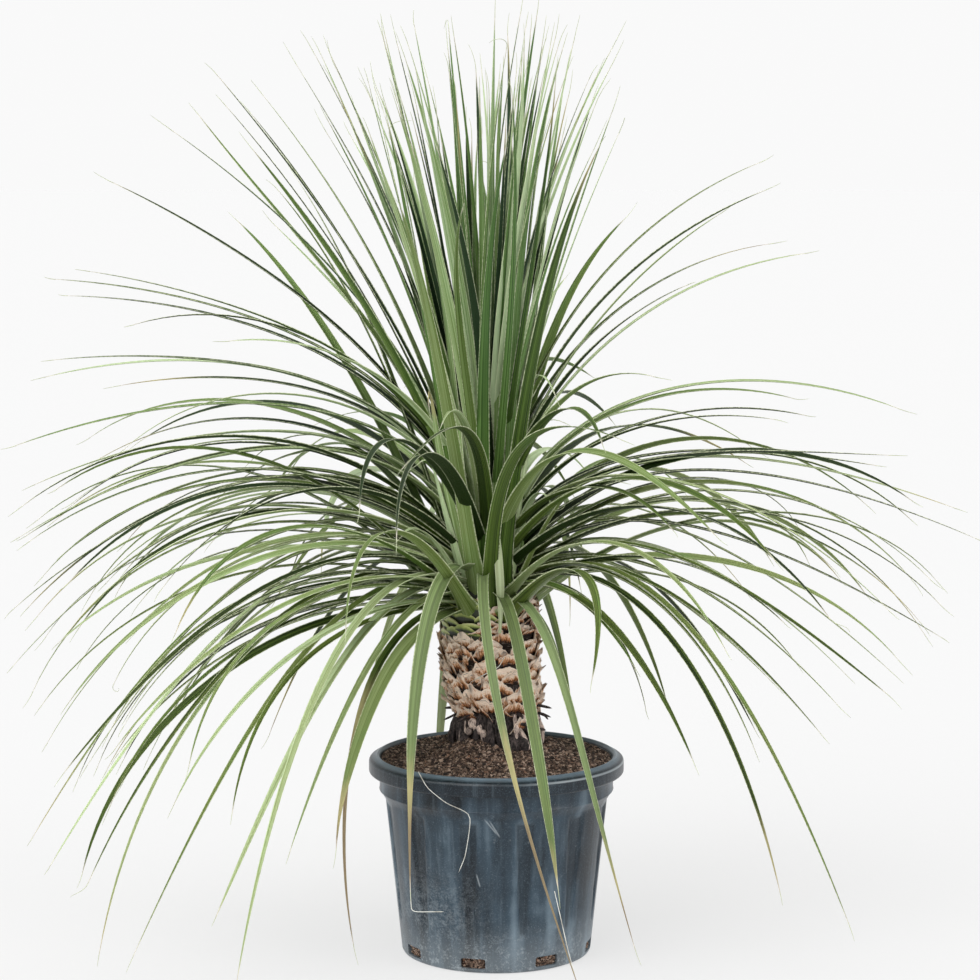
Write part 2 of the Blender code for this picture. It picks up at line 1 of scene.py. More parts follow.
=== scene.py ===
"""Potted mexican grass tree: its looks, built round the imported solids.

Metres, +Z up, origin at the centre of the pot's underside, front of the plant towards -Y.
"""

import logging
import random
from collections.abc import Iterator, Sequence
from contextlib import contextmanager
from dataclasses import dataclass, field
from enum import Enum
from itertools import chain, pairwise, product
from math import cos, exp, hypot, pi, radians, sin, sqrt, tan

import bpy
import numpy as np
from mathutils import Matrix, Vector


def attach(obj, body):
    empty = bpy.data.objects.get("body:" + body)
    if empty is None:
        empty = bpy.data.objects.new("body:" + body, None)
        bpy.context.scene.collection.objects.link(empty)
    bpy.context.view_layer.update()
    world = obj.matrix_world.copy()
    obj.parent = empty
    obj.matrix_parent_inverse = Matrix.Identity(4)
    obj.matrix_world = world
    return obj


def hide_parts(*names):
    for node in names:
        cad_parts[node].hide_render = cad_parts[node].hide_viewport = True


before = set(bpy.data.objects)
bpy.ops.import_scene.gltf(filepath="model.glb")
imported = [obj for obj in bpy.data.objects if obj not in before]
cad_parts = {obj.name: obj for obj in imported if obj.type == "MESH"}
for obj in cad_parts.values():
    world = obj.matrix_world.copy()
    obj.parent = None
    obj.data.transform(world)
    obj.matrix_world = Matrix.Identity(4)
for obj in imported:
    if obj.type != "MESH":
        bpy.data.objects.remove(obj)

LOG = logging.getLogger("grass_tree")
GOLDEN_ANGLE = 137.508
GOLDEN_SHARE = 0.618
Colour = tuple[float, float, float]
Row = tuple[float, float]
Spot = tuple[float, float, float]
Piece = bpy.types.Object
Material = bpy.types.Material
Inputs = dict[int | str, object]


def colour(code: str) -> Colour:
    """Turn a six-digit screen colour such as "7E9440" into the linear values that a shader takes."""
    screen = [int(code[k:k + 2], 16) / 255 for k in (0, 2, 4)]
    return tuple(s / 12.92 if s <= 0.04045 else ((s + 0.055) / 1.055) ** 2.4 for s in screen)


def blend(low: float, high: float, share: float) -> float:
    """Return the value at a share of the way from low to high."""
    return low + (high - low) * share


def within(share: float) -> float:
    """Return a share held between 0 and 1."""
    return min(1.0, max(0.0, share))


def smooth(value: np.ndarray | float, low: float, high: float) -> np.ndarray:
    """Return 0 below low and 1 above high, with a soft step between."""
    t = np.clip((np.asarray(value, float) - low) / (high - low), 0.0, 1.0)
    return t * t * (3 - 2 * t)


def spot_at(reach: float, bearing: float, height: float) -> Spot:
    """Return the place at a reach from the axis, on a bearing in radians."""
    return reach * cos(bearing), reach * sin(bearing), height


def take(obj: Piece) -> None:
    """Make an object the only one that is selected, and the active one.

    Args:
        obj: The object.
    """
    bpy.ops.object.select_all(action="DESELECT")
    obj.select_set(True)
    bpy.context.view_layer.objects.active = obj


def named(name: str) -> Piece:
    """Name the active object, which was added or joined last.

    Args:
        name: The name for it and for its mesh.

    Returns:
        The object.
    """
    obj = bpy.context.active_object
    obj.name = obj.data.name = name
    return obj


def settle(obj: Piece) -> None:
    """Put an object's place, turn and scale into its mesh."""
    take(obj)
    bpy.ops.object.transform_apply(location=True, rotation=True, scale=True)


def modify(obj: Piece, kind: str, **settings: object) -> None:
    """Give an object a modifier and apply it.

    Args:
        obj: The object, a mesh.
        kind: The modifier's type.
        settings: Its values.
    """
    take(obj)
    modifier = obj.modifiers.new(kind.lower(), kind)
    for key, value in settings.items():
        setattr(modifier, key, value)
    bpy.ops.object.modifier_apply(modifier=modifier.name)


@contextmanager
def editing(obj: Piece) -> Iterator[None]:
    """Hold an object in edit mode, with its whole mesh selected at first, for the calls in a with block.

    Args:
        obj: The object.
    """
    take(obj)
    bpy.ops.object.mode_set(mode="EDIT")
    bpy.ops.mesh.select_mode(type="EDGE")
    bpy.ops.mesh.select_all(action="SELECT")
    yield
    bpy.ops.object.mode_set(mode="OBJECT")


def flat_sheet(name: str, columns: int, rows: int) -> Piece:
    """Model a flat sheet, 1 wide and 1 long.

    Args:
        name: The object's name.
        columns: Faces across it.
        rows: Faces along it.

    Returns:
        The sheet, with x across and y along from its foot.
    """
    spot = (0.0, 0.5, 0.0)
    bpy.ops.mesh.primitive_grid_add(x_subdivisions=columns, y_subdivisions=rows, size=1.0, location=spot)
    obj = named(name)
    settle(obj)
    return obj


def turned(name: str, rows: Sequence[Row], columns: int) -> Piece:
    """Model a turned body: a disc whose rim is extruded through the rows and closed at the end.

    Args:
        name: The object's name.
        rows: Radius and height of each row, from the underside outwards and over to the inside.
        columns: Faces round it.

    Returns:
        The closed body.
    """
    radius, height = rows[0]
    spot = (0.0, 0.0, height)
    bpy.ops.mesh.primitive_circle_add(vertices=columns, radius=radius, fill_type="TRIFAN", location=spot)
    obj = named(name)
    settle(obj)
    with editing(obj):
        bpy.ops.mesh.region_to_loop()
        for next_radius, next_height in rows[1:]:
            lift = {"value": (0.0, 0.0, next_height - height)}
            bpy.ops.mesh.extrude_edges_move(TRANSFORM_OT_translate=lift)
            ratio = next_radius / radius
            bpy.ops.transform.resize(value=(ratio, ratio, 1.0), center_override=(0.0, 0.0, next_height))
            radius, height = next_radius, next_height
        bpy.ops.mesh.merge(type="CENTER")
        bpy.ops.mesh.select_all(action="SELECT")
        bpy.ops.mesh.normals_make_consistent(inside=False)
    return obj


def points_of(obj: Piece) -> np.ndarray:
    """Read an object's mesh points.

    Args:
        obj: The object.

    Returns:
        The points, one to a row.
    """
    flat = np.empty(len(obj.data.vertices) * 3, np.float32)
    obj.data.vertices.foreach_get("co", flat)
    return flat.reshape(-1, 3).astype(float)


def place(obj: Piece, points: np.ndarray) -> None:
    """Move an object's mesh points to the given ones."""
    obj.data.vertices.foreach_set("co", points.astype(np.float32).ravel())
    obj.data.update()


def mark(obj: Piece, **values: np.ndarray | float) -> None:
    """Store values on an object's points for its finish to read.

    Args:
        obj: The object.
        values: One value for all points or one for each, by name.
    """
    count = len(obj.data.vertices)
    for name, value in values.items():
        layer = obj.data.attributes.get(name) or obj.data.attributes.new(name, "FLOAT", "POINT")
        layer.data.foreach_set("value", np.broadcast_to(value, (count,)).astype(np.float32))


def smooth_shade(obj: Piece, angle: float) -> None:
    """Shade an object smooth, apart from edges sharper than an angle in degrees."""
    take(obj)
    bpy.ops.object.shade_smooth_by_angle(angle=radians(angle))


def join(name: str, parts: Sequence[Piece]) -> Piece:
    """Join parts into one object.

    Args:
        name: The object's name.
        parts: The parts, which are used up.

    Returns:
        The object.
    """
    bpy.ops.object.select_all(action="DESELECT")
    for part in parts:
        part.select_set(True)
    bpy.context.view_layer.objects.active = parts[0]
    bpy.ops.object.join()
    return named(name)


def hand_over(obj: Piece, finish: Material, slot: str, *nodes: str) -> None:
    """Dress a finished piece, let it ride on the plant's body and stand for its solids.

    Args:
        obj: The piece.
        finish: Its material.
        slot: Not used.
        nodes: The solids that it stands for.
    """
    obj.data.materials.clear()
    obj.data.materials.append(finish)
    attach(obj, "root")
    if nodes:
        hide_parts(*nodes)
    obj.data.calc_loop_triangles()
    LOG.info("%s: %d triangles", obj.name, len(obj.data.loop_triangles))


class Blank:
    """A shape that is modelled once and then copied, each copy bent to its own place."""

    def __init__(self, source: Piece) -> None:
        """Keep the mesh of a modelled object, and remove the object.

        Args:
            source: The object.
        """
        self.mesh: bpy.types.Mesh = source.data
        self.points: np.ndarray = points_of(source)
        bpy.data.objects.remove(source)

    def copy(self, points: np.ndarray, **values: np.ndarray | float) -> Piece:
        """Copy the blank with its own mesh.

        Args:
            points: Where the copy's points go.
            values: What its points store for the finish.

        Returns:
            The copy.
        """
        obj = bpy.data.objects.new("copy", self.mesh.copy())
        bpy.context.scene.collection.objects.link(obj)
        place(obj, points)
        mark(obj, **values)
        return obj


class Strand(Blank):
    """A round blank for roots, fibres and threads, copied along their paths."""

    def __init__(self, sides: int, segments: int) -> None:
        """Model a closed straight strand.

        Args:
            sides: Faces round it.
            segments: Faces along it.
        """
        self.segments = segments
        strand = turned("strand", [(1.0, k / segments) for k in range(segments + 1)], sides)
        smooth_shade(strand, 60.0)
        super().__init__(strand)

    def along(self, path: Sequence[Spot | Vector], radii: Sequence[float], **values: float) -> Piece:
        """Copy the strand along a path.

        Args:
            path: Points of its middle line.
            radii: Its radius at each of them.
            values: What its points store for the finish.

        Returns:
            The copy.
        """
        corners = np.array([tuple(spot) for spot in path], float)
        run = np.concatenate([[0.0], np.cumsum(np.linalg.norm(np.diff(corners, axis=0), axis=1))])
        stops = np.linspace(0.0, run[-1], self.segments + 1)
        line = np.stack([np.interp(stops, run, corners[:, k]) for k in range(3)], axis=1)
        radius = np.interp(stops, run, np.array(radii, float))
        heading = np.gradient(line, axis=0)
        heading /= np.linalg.norm(heading, axis=1)[:, None] + 1e-12
        helper = np.array([0.31, 0.95, 0.05]) if abs(heading[0, 2]) > 0.6 else np.array([0.05, 0.10, 1.0])
        side = np.cross(heading, helper)
        side /= np.linalg.norm(side, axis=1)[:, None] + 1e-12
        other = np.cross(heading, side)
        row = np.clip(np.rint(self.points[:, 2] * self.segments).astype(int), 0, self.segments)
        x, y = self.points[:, 0, None], self.points[:, 1, None]
        return self.copy(line[row] + (x * side[row] + y * other[row]) * radius[row][:, None], **values)


class Value:
    """An output in a node tree. A sum, difference or product adds the node that works it out."""

    def __init__(self, nodes: "Nodes", socket: bpy.types.NodeSocket) -> None:
        """Keep the tree's nodes and the output."""
        self.nodes = nodes
        self.socket = socket

    def __add__(self, other: "Value | float") -> "Value":
        """Return this plus the other."""
        return self.nodes.math("ADD", self, other)

    def __sub__(self, other: "Value | float") -> "Value":
        """Return this less the other."""
        return self.nodes.math("SUBTRACT", self, other)

    def __rsub__(self, other: float) -> "Value":
        """Return the other less this."""
        return self.nodes.math("SUBTRACT", other, self)

    def __mul__(self, other: "Value | float") -> "Value":
        """Return this times the other."""
        return self.nodes.math("MULTIPLY", self, other)


class Nodes:
    """A node tree, with short calls that add its nodes."""

    def __init__(self, tree: bpy.types.NodeTree) -> None:
        """Keep the tree."""
        self.tree = tree

    def node(self, kind: str, inputs: Inputs, output: int | str = 0, **settings: object) -> Value:
        """Add a node.

        Args:
            kind: Its type.
            inputs: Values for its inputs, by name or number.
            output: The output that is wanted.
            settings: Its properties.

        Returns:
            That output.
        """
        made = self.tree.nodes.new(kind)
        for key, value in settings.items():
            setattr(made, key, value)
        for key, value in inputs.items():
            if isinstance(value, Value):
                self.tree.links.new(value.socket, made.inputs[key])
            else:
                made.inputs[key].default_value = value
        return Value(self, made.outputs[output])

    def axis(self, vector: Value, number: int) -> Value:
        """Return one number of a vector."""
        return self.node("ShaderNodeSeparateXYZ", {0: vector}, number)

    def math(self, operation: str, a: Value | float, b: Value | float = 0.0) -> Value:
        """Return the result of an operation on two values."""
        return self.node("ShaderNodeMath", {0: a, 1: b}, operation=operation)

    def step(self, value: Value, low: float, high: float, top: float = 1.0, base: float = 0.0) -> Value:
        """Return base where a value is below low and top where it is above high, with a soft step between."""
        inputs = {"Value": value, "From Min": low, "From Max": high, "To Min": base, "To Max": top}
        return self.node("ShaderNodeMapRange", inputs, interpolation_type="SMOOTHSTEP")


class Recipe(Nodes):
    """The nodes of one material. Its tint is the colour so far, which coats are laid over."""

    tint: Value | Colour

    def __init__(self, name: str, roughness: float = 0.5, **sockets: object) -> None:
        """Start a material whose even values are set on its shader's own sockets.

        Args:
            name: Its name.
            roughness: Its roughness, where no pattern sets it.
            sockets: Other values, by the socket's name with _ for a space.
        """
        self.material = bpy.data.materials.new(name)
        self.material.use_nodes = True
        super().__init__(self.material.node_tree)
        self.shader = self.tree.nodes["Principled BSDF"]
        for socket, value in {"Roughness": roughness, **sockets}.items():
            self.shader.inputs[socket.replace("_", " ")].default_value = value

    def place(self, stretch: Spot = (1.0, 1.0, 1.0)) -> Value:
        """Return the piece's own coordinates in metres, stretched along each axis."""
        spot = self.node("ShaderNodeTexCoord", {}, "Object")
        return self.node("ShaderNodeVectorMath", {0: spot, 1: stretch}, operation="MULTIPLY")

    def sheet(self) -> tuple[Value, Value]:
        """Return the shares of the way across and along the piece's own UV map."""
        sheet = self.node("ShaderNodeUVMap", {})
        return self.axis(sheet, 0), self.axis(sheet, 1)

    def stored(self, name: str) -> Value:
        """Return a value that is stored on the piece's points."""
        return self.node("ShaderNodeAttribute", {}, "Fac", attribute_name=name)

    def noise(
        self,
        where: Value | tuple[Value | float, ...],
        scale: float,
        detail: float = 3.0,
        rough: float = 0.55,
        warp: float = 0.0,
    ) -> Value:
        """Make even noise from 0 to 1.

        Args:
            where: The place, as a vector or as its three values.
            scale: Lumps in one unit of the place.
            detail: Finer layers.
            rough: Their strength.
            warp: Its distortion.

        Returns:
            The noise.
        """
        if isinstance(where, tuple):
            where = self.node("ShaderNodeCombineXYZ", dict(enumerate(where)))
        inputs = {"Vector": where, "Scale": scale, "Detail": detail, "Roughness": rough, "Distortion": warp}
        return self.node("ShaderNodeTexNoise", inputs)

    def ramp(self, value: Value, *stops: tuple[float, Colour]) -> Value:
        """Colour a value.

        Args:
            value: The value.
            stops: Places on its way from 0 to 1, with their colours.

        Returns:
            The colour.
        """
        made = self.node("ShaderNodeValToRGB", {0: value})
        bar = made.socket.node.color_ramp.elements
        while len(bar) < len(stops):
            bar.new(1.0)
        for element, (spot, tint) in zip(bar, stops):
            element.position = spot
            element.color = (*tint, 1.0)
        return made

    def coat(self, share: Value, tint: Value | Colour, kind: str = "MIX") -> None:
        """Lay a colour over the tint so far.

        Args:
            share: How much of it covers the tint.
            tint: The colour.
            kind: How it is blended in.
        """
        low, high = ((*part, 1.0) if isinstance(part, tuple) else part for part in (self.tint, tint))
        inputs = {0: share, 6: low, 7: high}
        self.tint = self.node("ShaderNodeMix", inputs, 2, data_type="RGBA", blend_type=kind)

    def stroke(self, x: Value, z: Value, start: Row, end: Row, width: float) -> Value:
        """Draw a straight scratch.

        Args:
            x: The first coordinate on the surface.
            z: The second.
            start: Where it begins.
            end: Where it ends.
            width: Its width.

        Returns:
            1 on the scratch and 0 off it.
        """
        length = hypot(end[0] - start[0], end[1] - start[1])
        run_x, run_z = (end[0] - start[0]) / length, (end[1] - start[1]) / length
        from_x, from_z = x - start[0], z - start[1]
        along = from_x * run_x + from_z * run_z
        off = self.math("ABSOLUTE", from_x * run_z - from_z * run_x)
        ends = self.step(along, 0.0, 0.3 * length) * self.step(along, 0.8 * length, length, 0.0, 1.0)
        return self.step(off, 0.4 * width, width, 0.0, 1.0) * ends

    def finish(self, relief: Value | None = None, depth: float = 0.0, rough: Value | None = None) -> Material:
        """Join the patterns to the shader.

        Args:
            relief: What the surface's fine relief follows.
            depth: That relief's height in metres.
            rough: The roughness, where it varies.

        Returns:
            The material.
        """
        ends = {"Base Color": self.tint, "Roughness": rough}
        if relief:
            bump = {"Height": relief, "Distance": depth, "Strength": 1.0}
            ends["Normal"] = self.node("ShaderNodeBump", bump)
        for name, value in ends.items():
            if value:
                self.tree.links.new(value.socket, self.shader.inputs[name])
        return self.material


@dataclass(frozen=True)
class PotPlastic:
    """Slate blue-grey moulded plastic, dusty at the foot, scuffed and lightly scratched, with painted shade
    in the flutes and on the lip's face, and painted highlights on the flute edges and along the rim.
    """

    deep: Colour = colour("09131B")
    slate: Colour = colour("2E3E4A")
    # worn is the colour of rubbed wear, and also of the painted highlights on the flute edges and the rim's
    # top.
    worn: Colour = colour("7D8F9B")
    # Pale dust, also laid as the painted highlight line along the rim.
    dust_and_highlight: Colour = colour("A4ACB0")
    dust_height: float = 0.078
    lip_bottom: float = 0.2415
    # Height of the painted highlight line along the rim.
    rim_highlight_height: float = 0.2572
    lip_top: float = 0.2615
    scratch_width: float = 0.0013
    scratches: tuple[tuple[Row, Row], ...] = (
        ((-0.0175, 0.2127), (0.0015, 0.1890)),
        ((-0.0105, 0.2105), (0.0050, 0.1850)),
        ((-0.0265, 0.1375), (-0.0210, 0.1176)),
    )

    def material(self) -> Material:
        """Make the material.

        Returns:
            The material.
        """
        mix = Recipe("slate_plastic", 0.42, Specular_IOR_Level=0.28, Coat_Weight=0.15, Coat_Roughness=0.18)
        where = mix.place()
        x, y, height = (mix.axis(where, k) for k in range(3))
        flute = mix.stored("flute")
        clouds = mix.noise(where, 10.0, 4.0, 0.6)
        grain = mix.noise(where, 560.0, 3.0, 0.7)
        bands = mix.noise(mix.place((34.0, 34.0, 1.4)), 1.0, 2.0, 0.5)
        streaks = mix.noise(mix.place((130.0, 130.0, 4.0)), 1.0, 4.0, 0.6)
        value = bands * 0.60 + clouds * 0.40
        mix.tint = mix.ramp(value, (0.38, self.deep), (0.54, self.slate), (0.75, self.worn))
        # Painted shade: the recessed flutes are darkened towards the deep colour by how far each point is
        # pressed in.
        mix.coat(flute * 0.60, self.deep)
        # Painted highlight: the flute edges are lightened with the worn colour.
        mix.coat(flute * (1.0 - flute) * mix.step(bands, 0.42, 0.60, 0.35), self.worn)
        # Painted shade: the lip's outer face, between its bottom and top, is darkened towards the deep
        # colour.
        lip = mix.step(height, self.lip_bottom - 0.001, self.lip_bottom) * 0.80
        mix.coat(lip * mix.step(height, self.lip_top, self.lip_top + 0.003, 0.0, 1.0), self.deep)
        # Painted highlight: the rim's top above the lip is lightened with the worn colour.
        mix.coat(mix.step(height, self.lip_top, self.lip_top + 0.003, 0.42), self.worn)
        # Painted highlight: a thin pale line along the rim, stronger on the right side.
        line = mix.step(height, self.rim_highlight_height, self.rim_highlight_height + 0.0014)
        line = line * mix.step(height, self.rim_highlight_height + 0.0022, self.rim_highlight_height + 0.0040, 0.0, 1.0)
        mix.coat(line * mix.step(x, 0.0, 0.10, 0.60, 0.05), self.dust_and_highlight)
        mix.coat(mix.step(streaks, 0.50, 0.76, 0.16), self.worn)
        mix.coat(mix.step(grain, 0.50, 0.76, 0.24), self.worn)
        low = mix.step(height, 0.004, self.dust_height, 0.0, 1.0)
        left = mix.step(x, -0.09, 0.02, 0.0, 1.0)
        reach = mix.math("MAXIMUM", low, left * mix.step(height, 0.05, 0.17, 0.0, 0.55))
        cake = mix.noise(where, 70.0, 6.0, 0.80) + mix.noise(where, 340.0) * 0.6
        dirt = reach * mix.step(cake, 0.66, 1.02)
        mix.coat(mix.math("MAXIMUM", dirt * 0.62, low * 0.24), self.dust_and_highlight)
        front = mix.step(y, -0.10, -0.05, 0.0, 1.0)
        marks = mix.step(mix.noise(where, 150.0), 0.66, 0.74) * 0.14
        for start, end in self.scratches:
            stroke = mix.stroke(x, height, start, end, self.scratch_width)
            marks = mix.math("MAXIMUM", marks, stroke * front * 0.42)
        mix.coat(marks, self.dust_and_highlight)
        return mix.finish(grain * 0.5 + dirt * 0.6, 0.0003, (dirt + clouds) * 0.32 + 0.20)


@dataclass(frozen=True)
class PottingMix:
    """Crumbly peat and bark: dark brown with paler bits. Loose crumbs each have their own tone."""

    wet: Colour = colour("1B120E")
    brown: Colour = colour("47352B")
    bark: Colour = colour("8A7261")
    speck: Colour = colour("C2AA98")
    rust: Colour = colour("8E6248")

    def material(self, loose: bool) -> Material:
        """Make the material.

        Args:
            loose: For the crumbs rather than for the bed.

        Returns:
            The material.
        """
        mix = Recipe("loose_crumbs" if loose else "potting_mix", 0.92)
        where = mix.place()
        grain = mix.noise(where, 900.0, 4.0, 0.7)
        cells = mix.node("ShaderNodeTexVoronoi", {"Vector": where, "Scale": 420.0}, "Color")
        tone = mix.stored("tone") if loose else mix.axis(cells, 0)
        stops = ((0.0, self.wet), (0.45, self.brown), (0.76, self.bark), (0.91, self.speck), (1.0, self.rust))
        mix.tint = mix.ramp(tone, *stops)
        mix.coat(mix.step(grain, 0.35, 0.75, 0.55), self.wet, "MULTIPLY")
        return mix.finish(grain, 0.0012)


@dataclass(frozen=True)
class DryScales:
    """Dry papery leaf bases: orange-brown below and pale tan at their torn ends, the pale partly their own
    colour and partly painted highlight, with painted shade darkening each scale's foot in the gaps.
    """

    gap: Colour = colour("1C0F09")
    rust: Colour = colour("9C5C30")
    tan: Colour = colour("E0AA7C")
    pale: Colour = colour("FFEAD6")

    def material(self) -> Material:
        """Make the material.

        Returns:
            The material.
        """
        mix = Recipe("dry_scales", 0.8, Specular_IOR_Level=0.3)
        across, along = mix.sheet()
        tone = mix.stored("tone")
        own = tone * 31.0
        fibres = mix.noise((across * 15.0, along * 2.6, own), 1.0, 6.0, 0.70, 0.9)
        flakes = mix.noise((across * 3.0, along * 11.0, own), 1.0, 5.0, 0.65, 1.2)
        # Painted shade and highlight: the value rises along each scale, so its foot in the gap is painted
        # dark and its torn end painted pale.
        value = along * 0.62 + fibres * 0.85 + (tone - 0.5) * 0.34
        mix.tint = mix.ramp(value, (0.63, self.gap), (0.72, self.rust), (0.81, self.tan), (0.92, self.pale))
        mix.coat(mix.step(flakes, 0.55, 0.68, 0.80), self.gap)
        mix.coat(mix.step(flakes, 0.34, 0.46, 0.0, 0.20), self.pale)
        mix.coat(mix.stored("age"), self.gap)
        return mix.finish(fibres + flakes, 0.0022)


@dataclass(frozen=True)
class LiveScales:
    """The plump green bases of living leaves, with paler edges that are partly painted highlight, and painted
    shade darkening the gaps at their feet.
    """

    gap: Colour = colour("1E250C")
    green: Colour = colour("72803A")
    light: Colour = colour("AEB768")
    edge: Colour = colour("C2C28E")

    def material(self) -> Material:
        """Make the material.

        Returns:
            The material.
        """
        mix = Recipe("live_scales")
        across, along = mix.sheet()
        tone = mix.stored("tone")
        veins = mix.noise((across * 22.0, along, tone), 1.0, 4.0, 0.6)
        blotch = mix.noise(mix.place(), 120.0, 4.0, 0.6)
        # Painted shade and highlight: the value rises along each scale, so its foot is painted dark in the
        # gap and its upper edge painted pale.
        value = along * 0.80 + veins * 0.18 + blotch * 0.16 + (tone - 0.5) * 0.25
        stops = ((0.58, self.gap), (0.72, self.green), (0.90, self.light), (0.99, self.edge))
        mix.tint = mix.ramp(value, *stops)
        return mix.finish(blotch + veins, 0.0008)


@dataclass(frozen=True)
class LeafGreen:
    """Glaucous leaf skin with fine veins, pale margins and dry tips, and painted shade darkening each leaf
    near its root. Older leaves are more olive.
    """

    deep: Colour = colour("131C08")
    dark: Colour = colour("1D2E0C")
    green: Colour = colour("466623")
    light: Colour = colour("769653")
    bloom: Colour = colour("C2D6A6")
    cool: Colour = colour("4A7560")
    olive: Colour = colour("5D6E2B")
    lime: Colour = colour("8F9C66")
    margin: Colour = colour("D6DCB8")
    straw: Colour = colour("B5AB7C")
    brown: Colour = colour("86725F")
    thread: Colour = colour("DDD6C8")

    def material(self) -> Material:
        """Make the material.

        Returns:
            The material.
        """
        mix = Recipe("leaf_skin", 0.5, Specular_IOR_Level=0.20)
        across, along = mix.sheet()
        tone, age, dry, pale = (mix.stored(name) for name in ("tone", "age", "dry", "pale"))
        own = tone * 37.0
        veins = mix.noise((across * 36.0, along, own), 1.0, 3.0, 0.6)
        broad = mix.noise((across * 6.0, along, own + 9.0), 1.0, 2.0)
        patches = mix.noise((across, along * 8.0, own), 1.0, 4.0, 0.6)
        value = veins * 0.68 + broad * 0.57 + (tone - 0.5) * 0.95
        stops = ((0.38, self.dark), (0.57, self.green), (0.76, self.light), (0.97, self.bloom))
        mix.tint = mix.ramp(value, *stops)
        mix.coat(mix.step(along, 0.15, 0.6, 0.15) * (1.0 - age), self.cool)
        old = mix.ramp(value, (0.36, self.dark), (0.58, self.olive), (0.82, self.lime), (1.0, self.bloom))
        mix.coat(age * mix.step(patches, 0.15, 0.55), old)
        # Painted shade: each leaf is darkened towards the deep colour near its root, inside the crown.
        mix.coat(mix.step(along, 0.02, 0.16, 0.0, 0.14), self.deep)
        middle = mix.math("ABSOLUTE", across - 0.5)
        teeth = mix.noise((0.0, along * 150.0, own), 1.0, 2.0)
        mix.coat(mix.step(middle, 0.435, 0.48) * mix.step(teeth, 0.35, 0.62, 0.85, 0.25), self.margin)
        mix.coat(pale, self.margin)
        gone = along + (patches - 0.5) * 0.18 - dry
        mix.coat(mix.step(gone, -0.10, 0.03, 0.9), self.straw)
        mix.coat(mix.step(gone, 0.04, 0.12) * mix.step(veins, 0.36, 0.56, 0.95, 0.35), self.brown)
        mix.coat(mix.step(along, 0.955, 0.995, 0.8), self.thread)
        return mix.finish(veins, 0.0008, mix.step(gone, -0.05, 0.05, 0.35) + 0.44)


@dataclass(frozen=True)
class RootBark:
    """Dead roots and stubs at the trunk's foot: purplish black, with some grey or pale woody ones."""

    dark: Colour = colour("140E0D")
    grey: Colour = colour("695B58")
    wood: Colour = colour("DCC6B8")

    def material(self) -> Material:
        """Make the material.

        Returns:
            The material.
        """
        mix = Recipe("root_bark", 0.85)
        flakes = mix.noise(mix.place((1.0, 1.0, 0.5)), 330.0, 5.0, 0.7)
        mix.tint = mix.ramp(flakes, (0.44, self.dark), (0.74, self.grey))
        woody = mix.ramp(flakes, (0.36, self.grey), (0.56, self.wood))
        mix.coat(mix.step(mix.stored("tone"), 0.72, 0.86), woody)
        return mix.finish(flakes, 0.0012)


@dataclass(frozen=True)
class Fibre:
    """Pale dry thread from the leaf margins and tips."""

    light: Colour = colour("D9DAD2")
    shade: Colour = colour("A9A598")

    def material(self) -> Material:
        """Make the material.

        Returns:
            The material.
        """
        mix = Recipe("dry_fibre", 0.7)
        bands = mix.noise(mix.place(), 60.0, 2.0)
        mix.tint = mix.ramp(bands, (0.35, self.shade), (0.56, self.light))
        return mix.finish(bands, 0.0003)


@dataclass(frozen=True)
class FloorPaint:
    """Matt pale studio floor, softly lit from below as a light table is, and mottled a little."""

    tint: Colour = (0.21, 0.21, 0.21)
    mottle: float = 1.008
    glow: float = 0.6374

    def material(self) -> Material:
        """Make the material.

        Returns:
            The material.
        """
        light = {"Emission_Color": (1.0, 1.0, 1.0, 1.0), "Emission_Strength": self.glow}
        mix = Recipe("studio_floor", 0.9, Specular_IOR_Level=0.0, **light)
        mix.tint = self.tint
        mix.coat(mix.noise(mix.place(), 3.0, 2.0), tuple(self.mottle * part for part in self.tint))
        return mix.finish()


@dataclass(frozen=True)
class SoftBox:
    """A soft lamp far away: it stands where aim points, and reaches over a radius in degrees."""

    aim: Spot
    radius: float
    power: float


@dataclass
class Studio:
    """Pale floor, a sky of soft boxes and the camera of the photograph."""

    eye: Spot = (-0.0085, -3.6, 1.025)
    tilt_down: float = 6.43
    lens: float = 100.8
    floor_reach: float = 300.0
    floor_gap: float = 0.0005
    horizon: float = 0.95
    sides: float = 0.60
    top: float = 1.15
    boxes: tuple[SoftBox, ...] = (
        SoftBox((-0.50, -0.55, 0.72), 32.0, 3.3),
        SoftBox((0.90, -0.42, 0.42), 20.0, 4.2),
        SoftBox((-0.93, -0.32, 0.30), 16.0, 2.4),
    )

    def add_camera(self) -> None:
        """Set the camera up."""
        camera = bpy.data.cameras.new("camera")
        camera.lens = self.lens
        camera.clip_end = 4 * self.floor_reach
        stand = bpy.data.objects.new("camera", camera)
        stand.location = self.eye
        stand.rotation_euler = (radians(90.0 - self.tilt_down), 0.0, 0.0)
        bpy.context.scene.collection.objects.link(stand)
        bpy.context.scene.camera = stand

    def add_sky(self) -> None:
        """Light the scene by a sky that is even near the horizon, with soft boxes above."""
        world = bpy.data.worlds.new("studio")
        world.use_nodes = True
        bpy.context.scene.world = world
        sky = Nodes(world.node_tree)
        aim = sky.node("ShaderNodeTexCoord", {}, "Generated")
        rise = sky.axis(aim, 2)
        light = sky.step(rise, 0.12, 0.30, self.sides, self.horizon)
        light = light + sky.step(rise, 0.55, 0.90, self.top - self.sides)
        for box in self.boxes:
            towards = Vector(box.aim).normalized()
            near = sky.node("ShaderNodeVectorMath", {0: aim, 1: towards}, "Value", operation="DOT_PRODUCT")
            edge, middle = (cos(radians(share * box.radius)) for share in (1.0, 0.6))
            light = light + sky.step(near, edge, middle, box.power)
        glow = sky.tree.nodes["Background"]
        glow.inputs["Color"].default_value = (1.0, 1.0, 1.0, 1.0)
        sky.tree.links.new(light.socket, glow.inputs["Strength"])

    def build(self) -> None:
        """Build the floor, light and camera."""
        self.add_camera()
        self.add_sky()
        bpy.ops.mesh.primitive_plane_add(size=2 * self.floor_reach, location=(0.0, 0.0, -self.floor_gap))
        floor = named("studio_floor")
        settle(floor)
        floor.data.materials.append(FloorPaint().material())
        bpy.context.scene.view_settings.view_transform = "Standard"


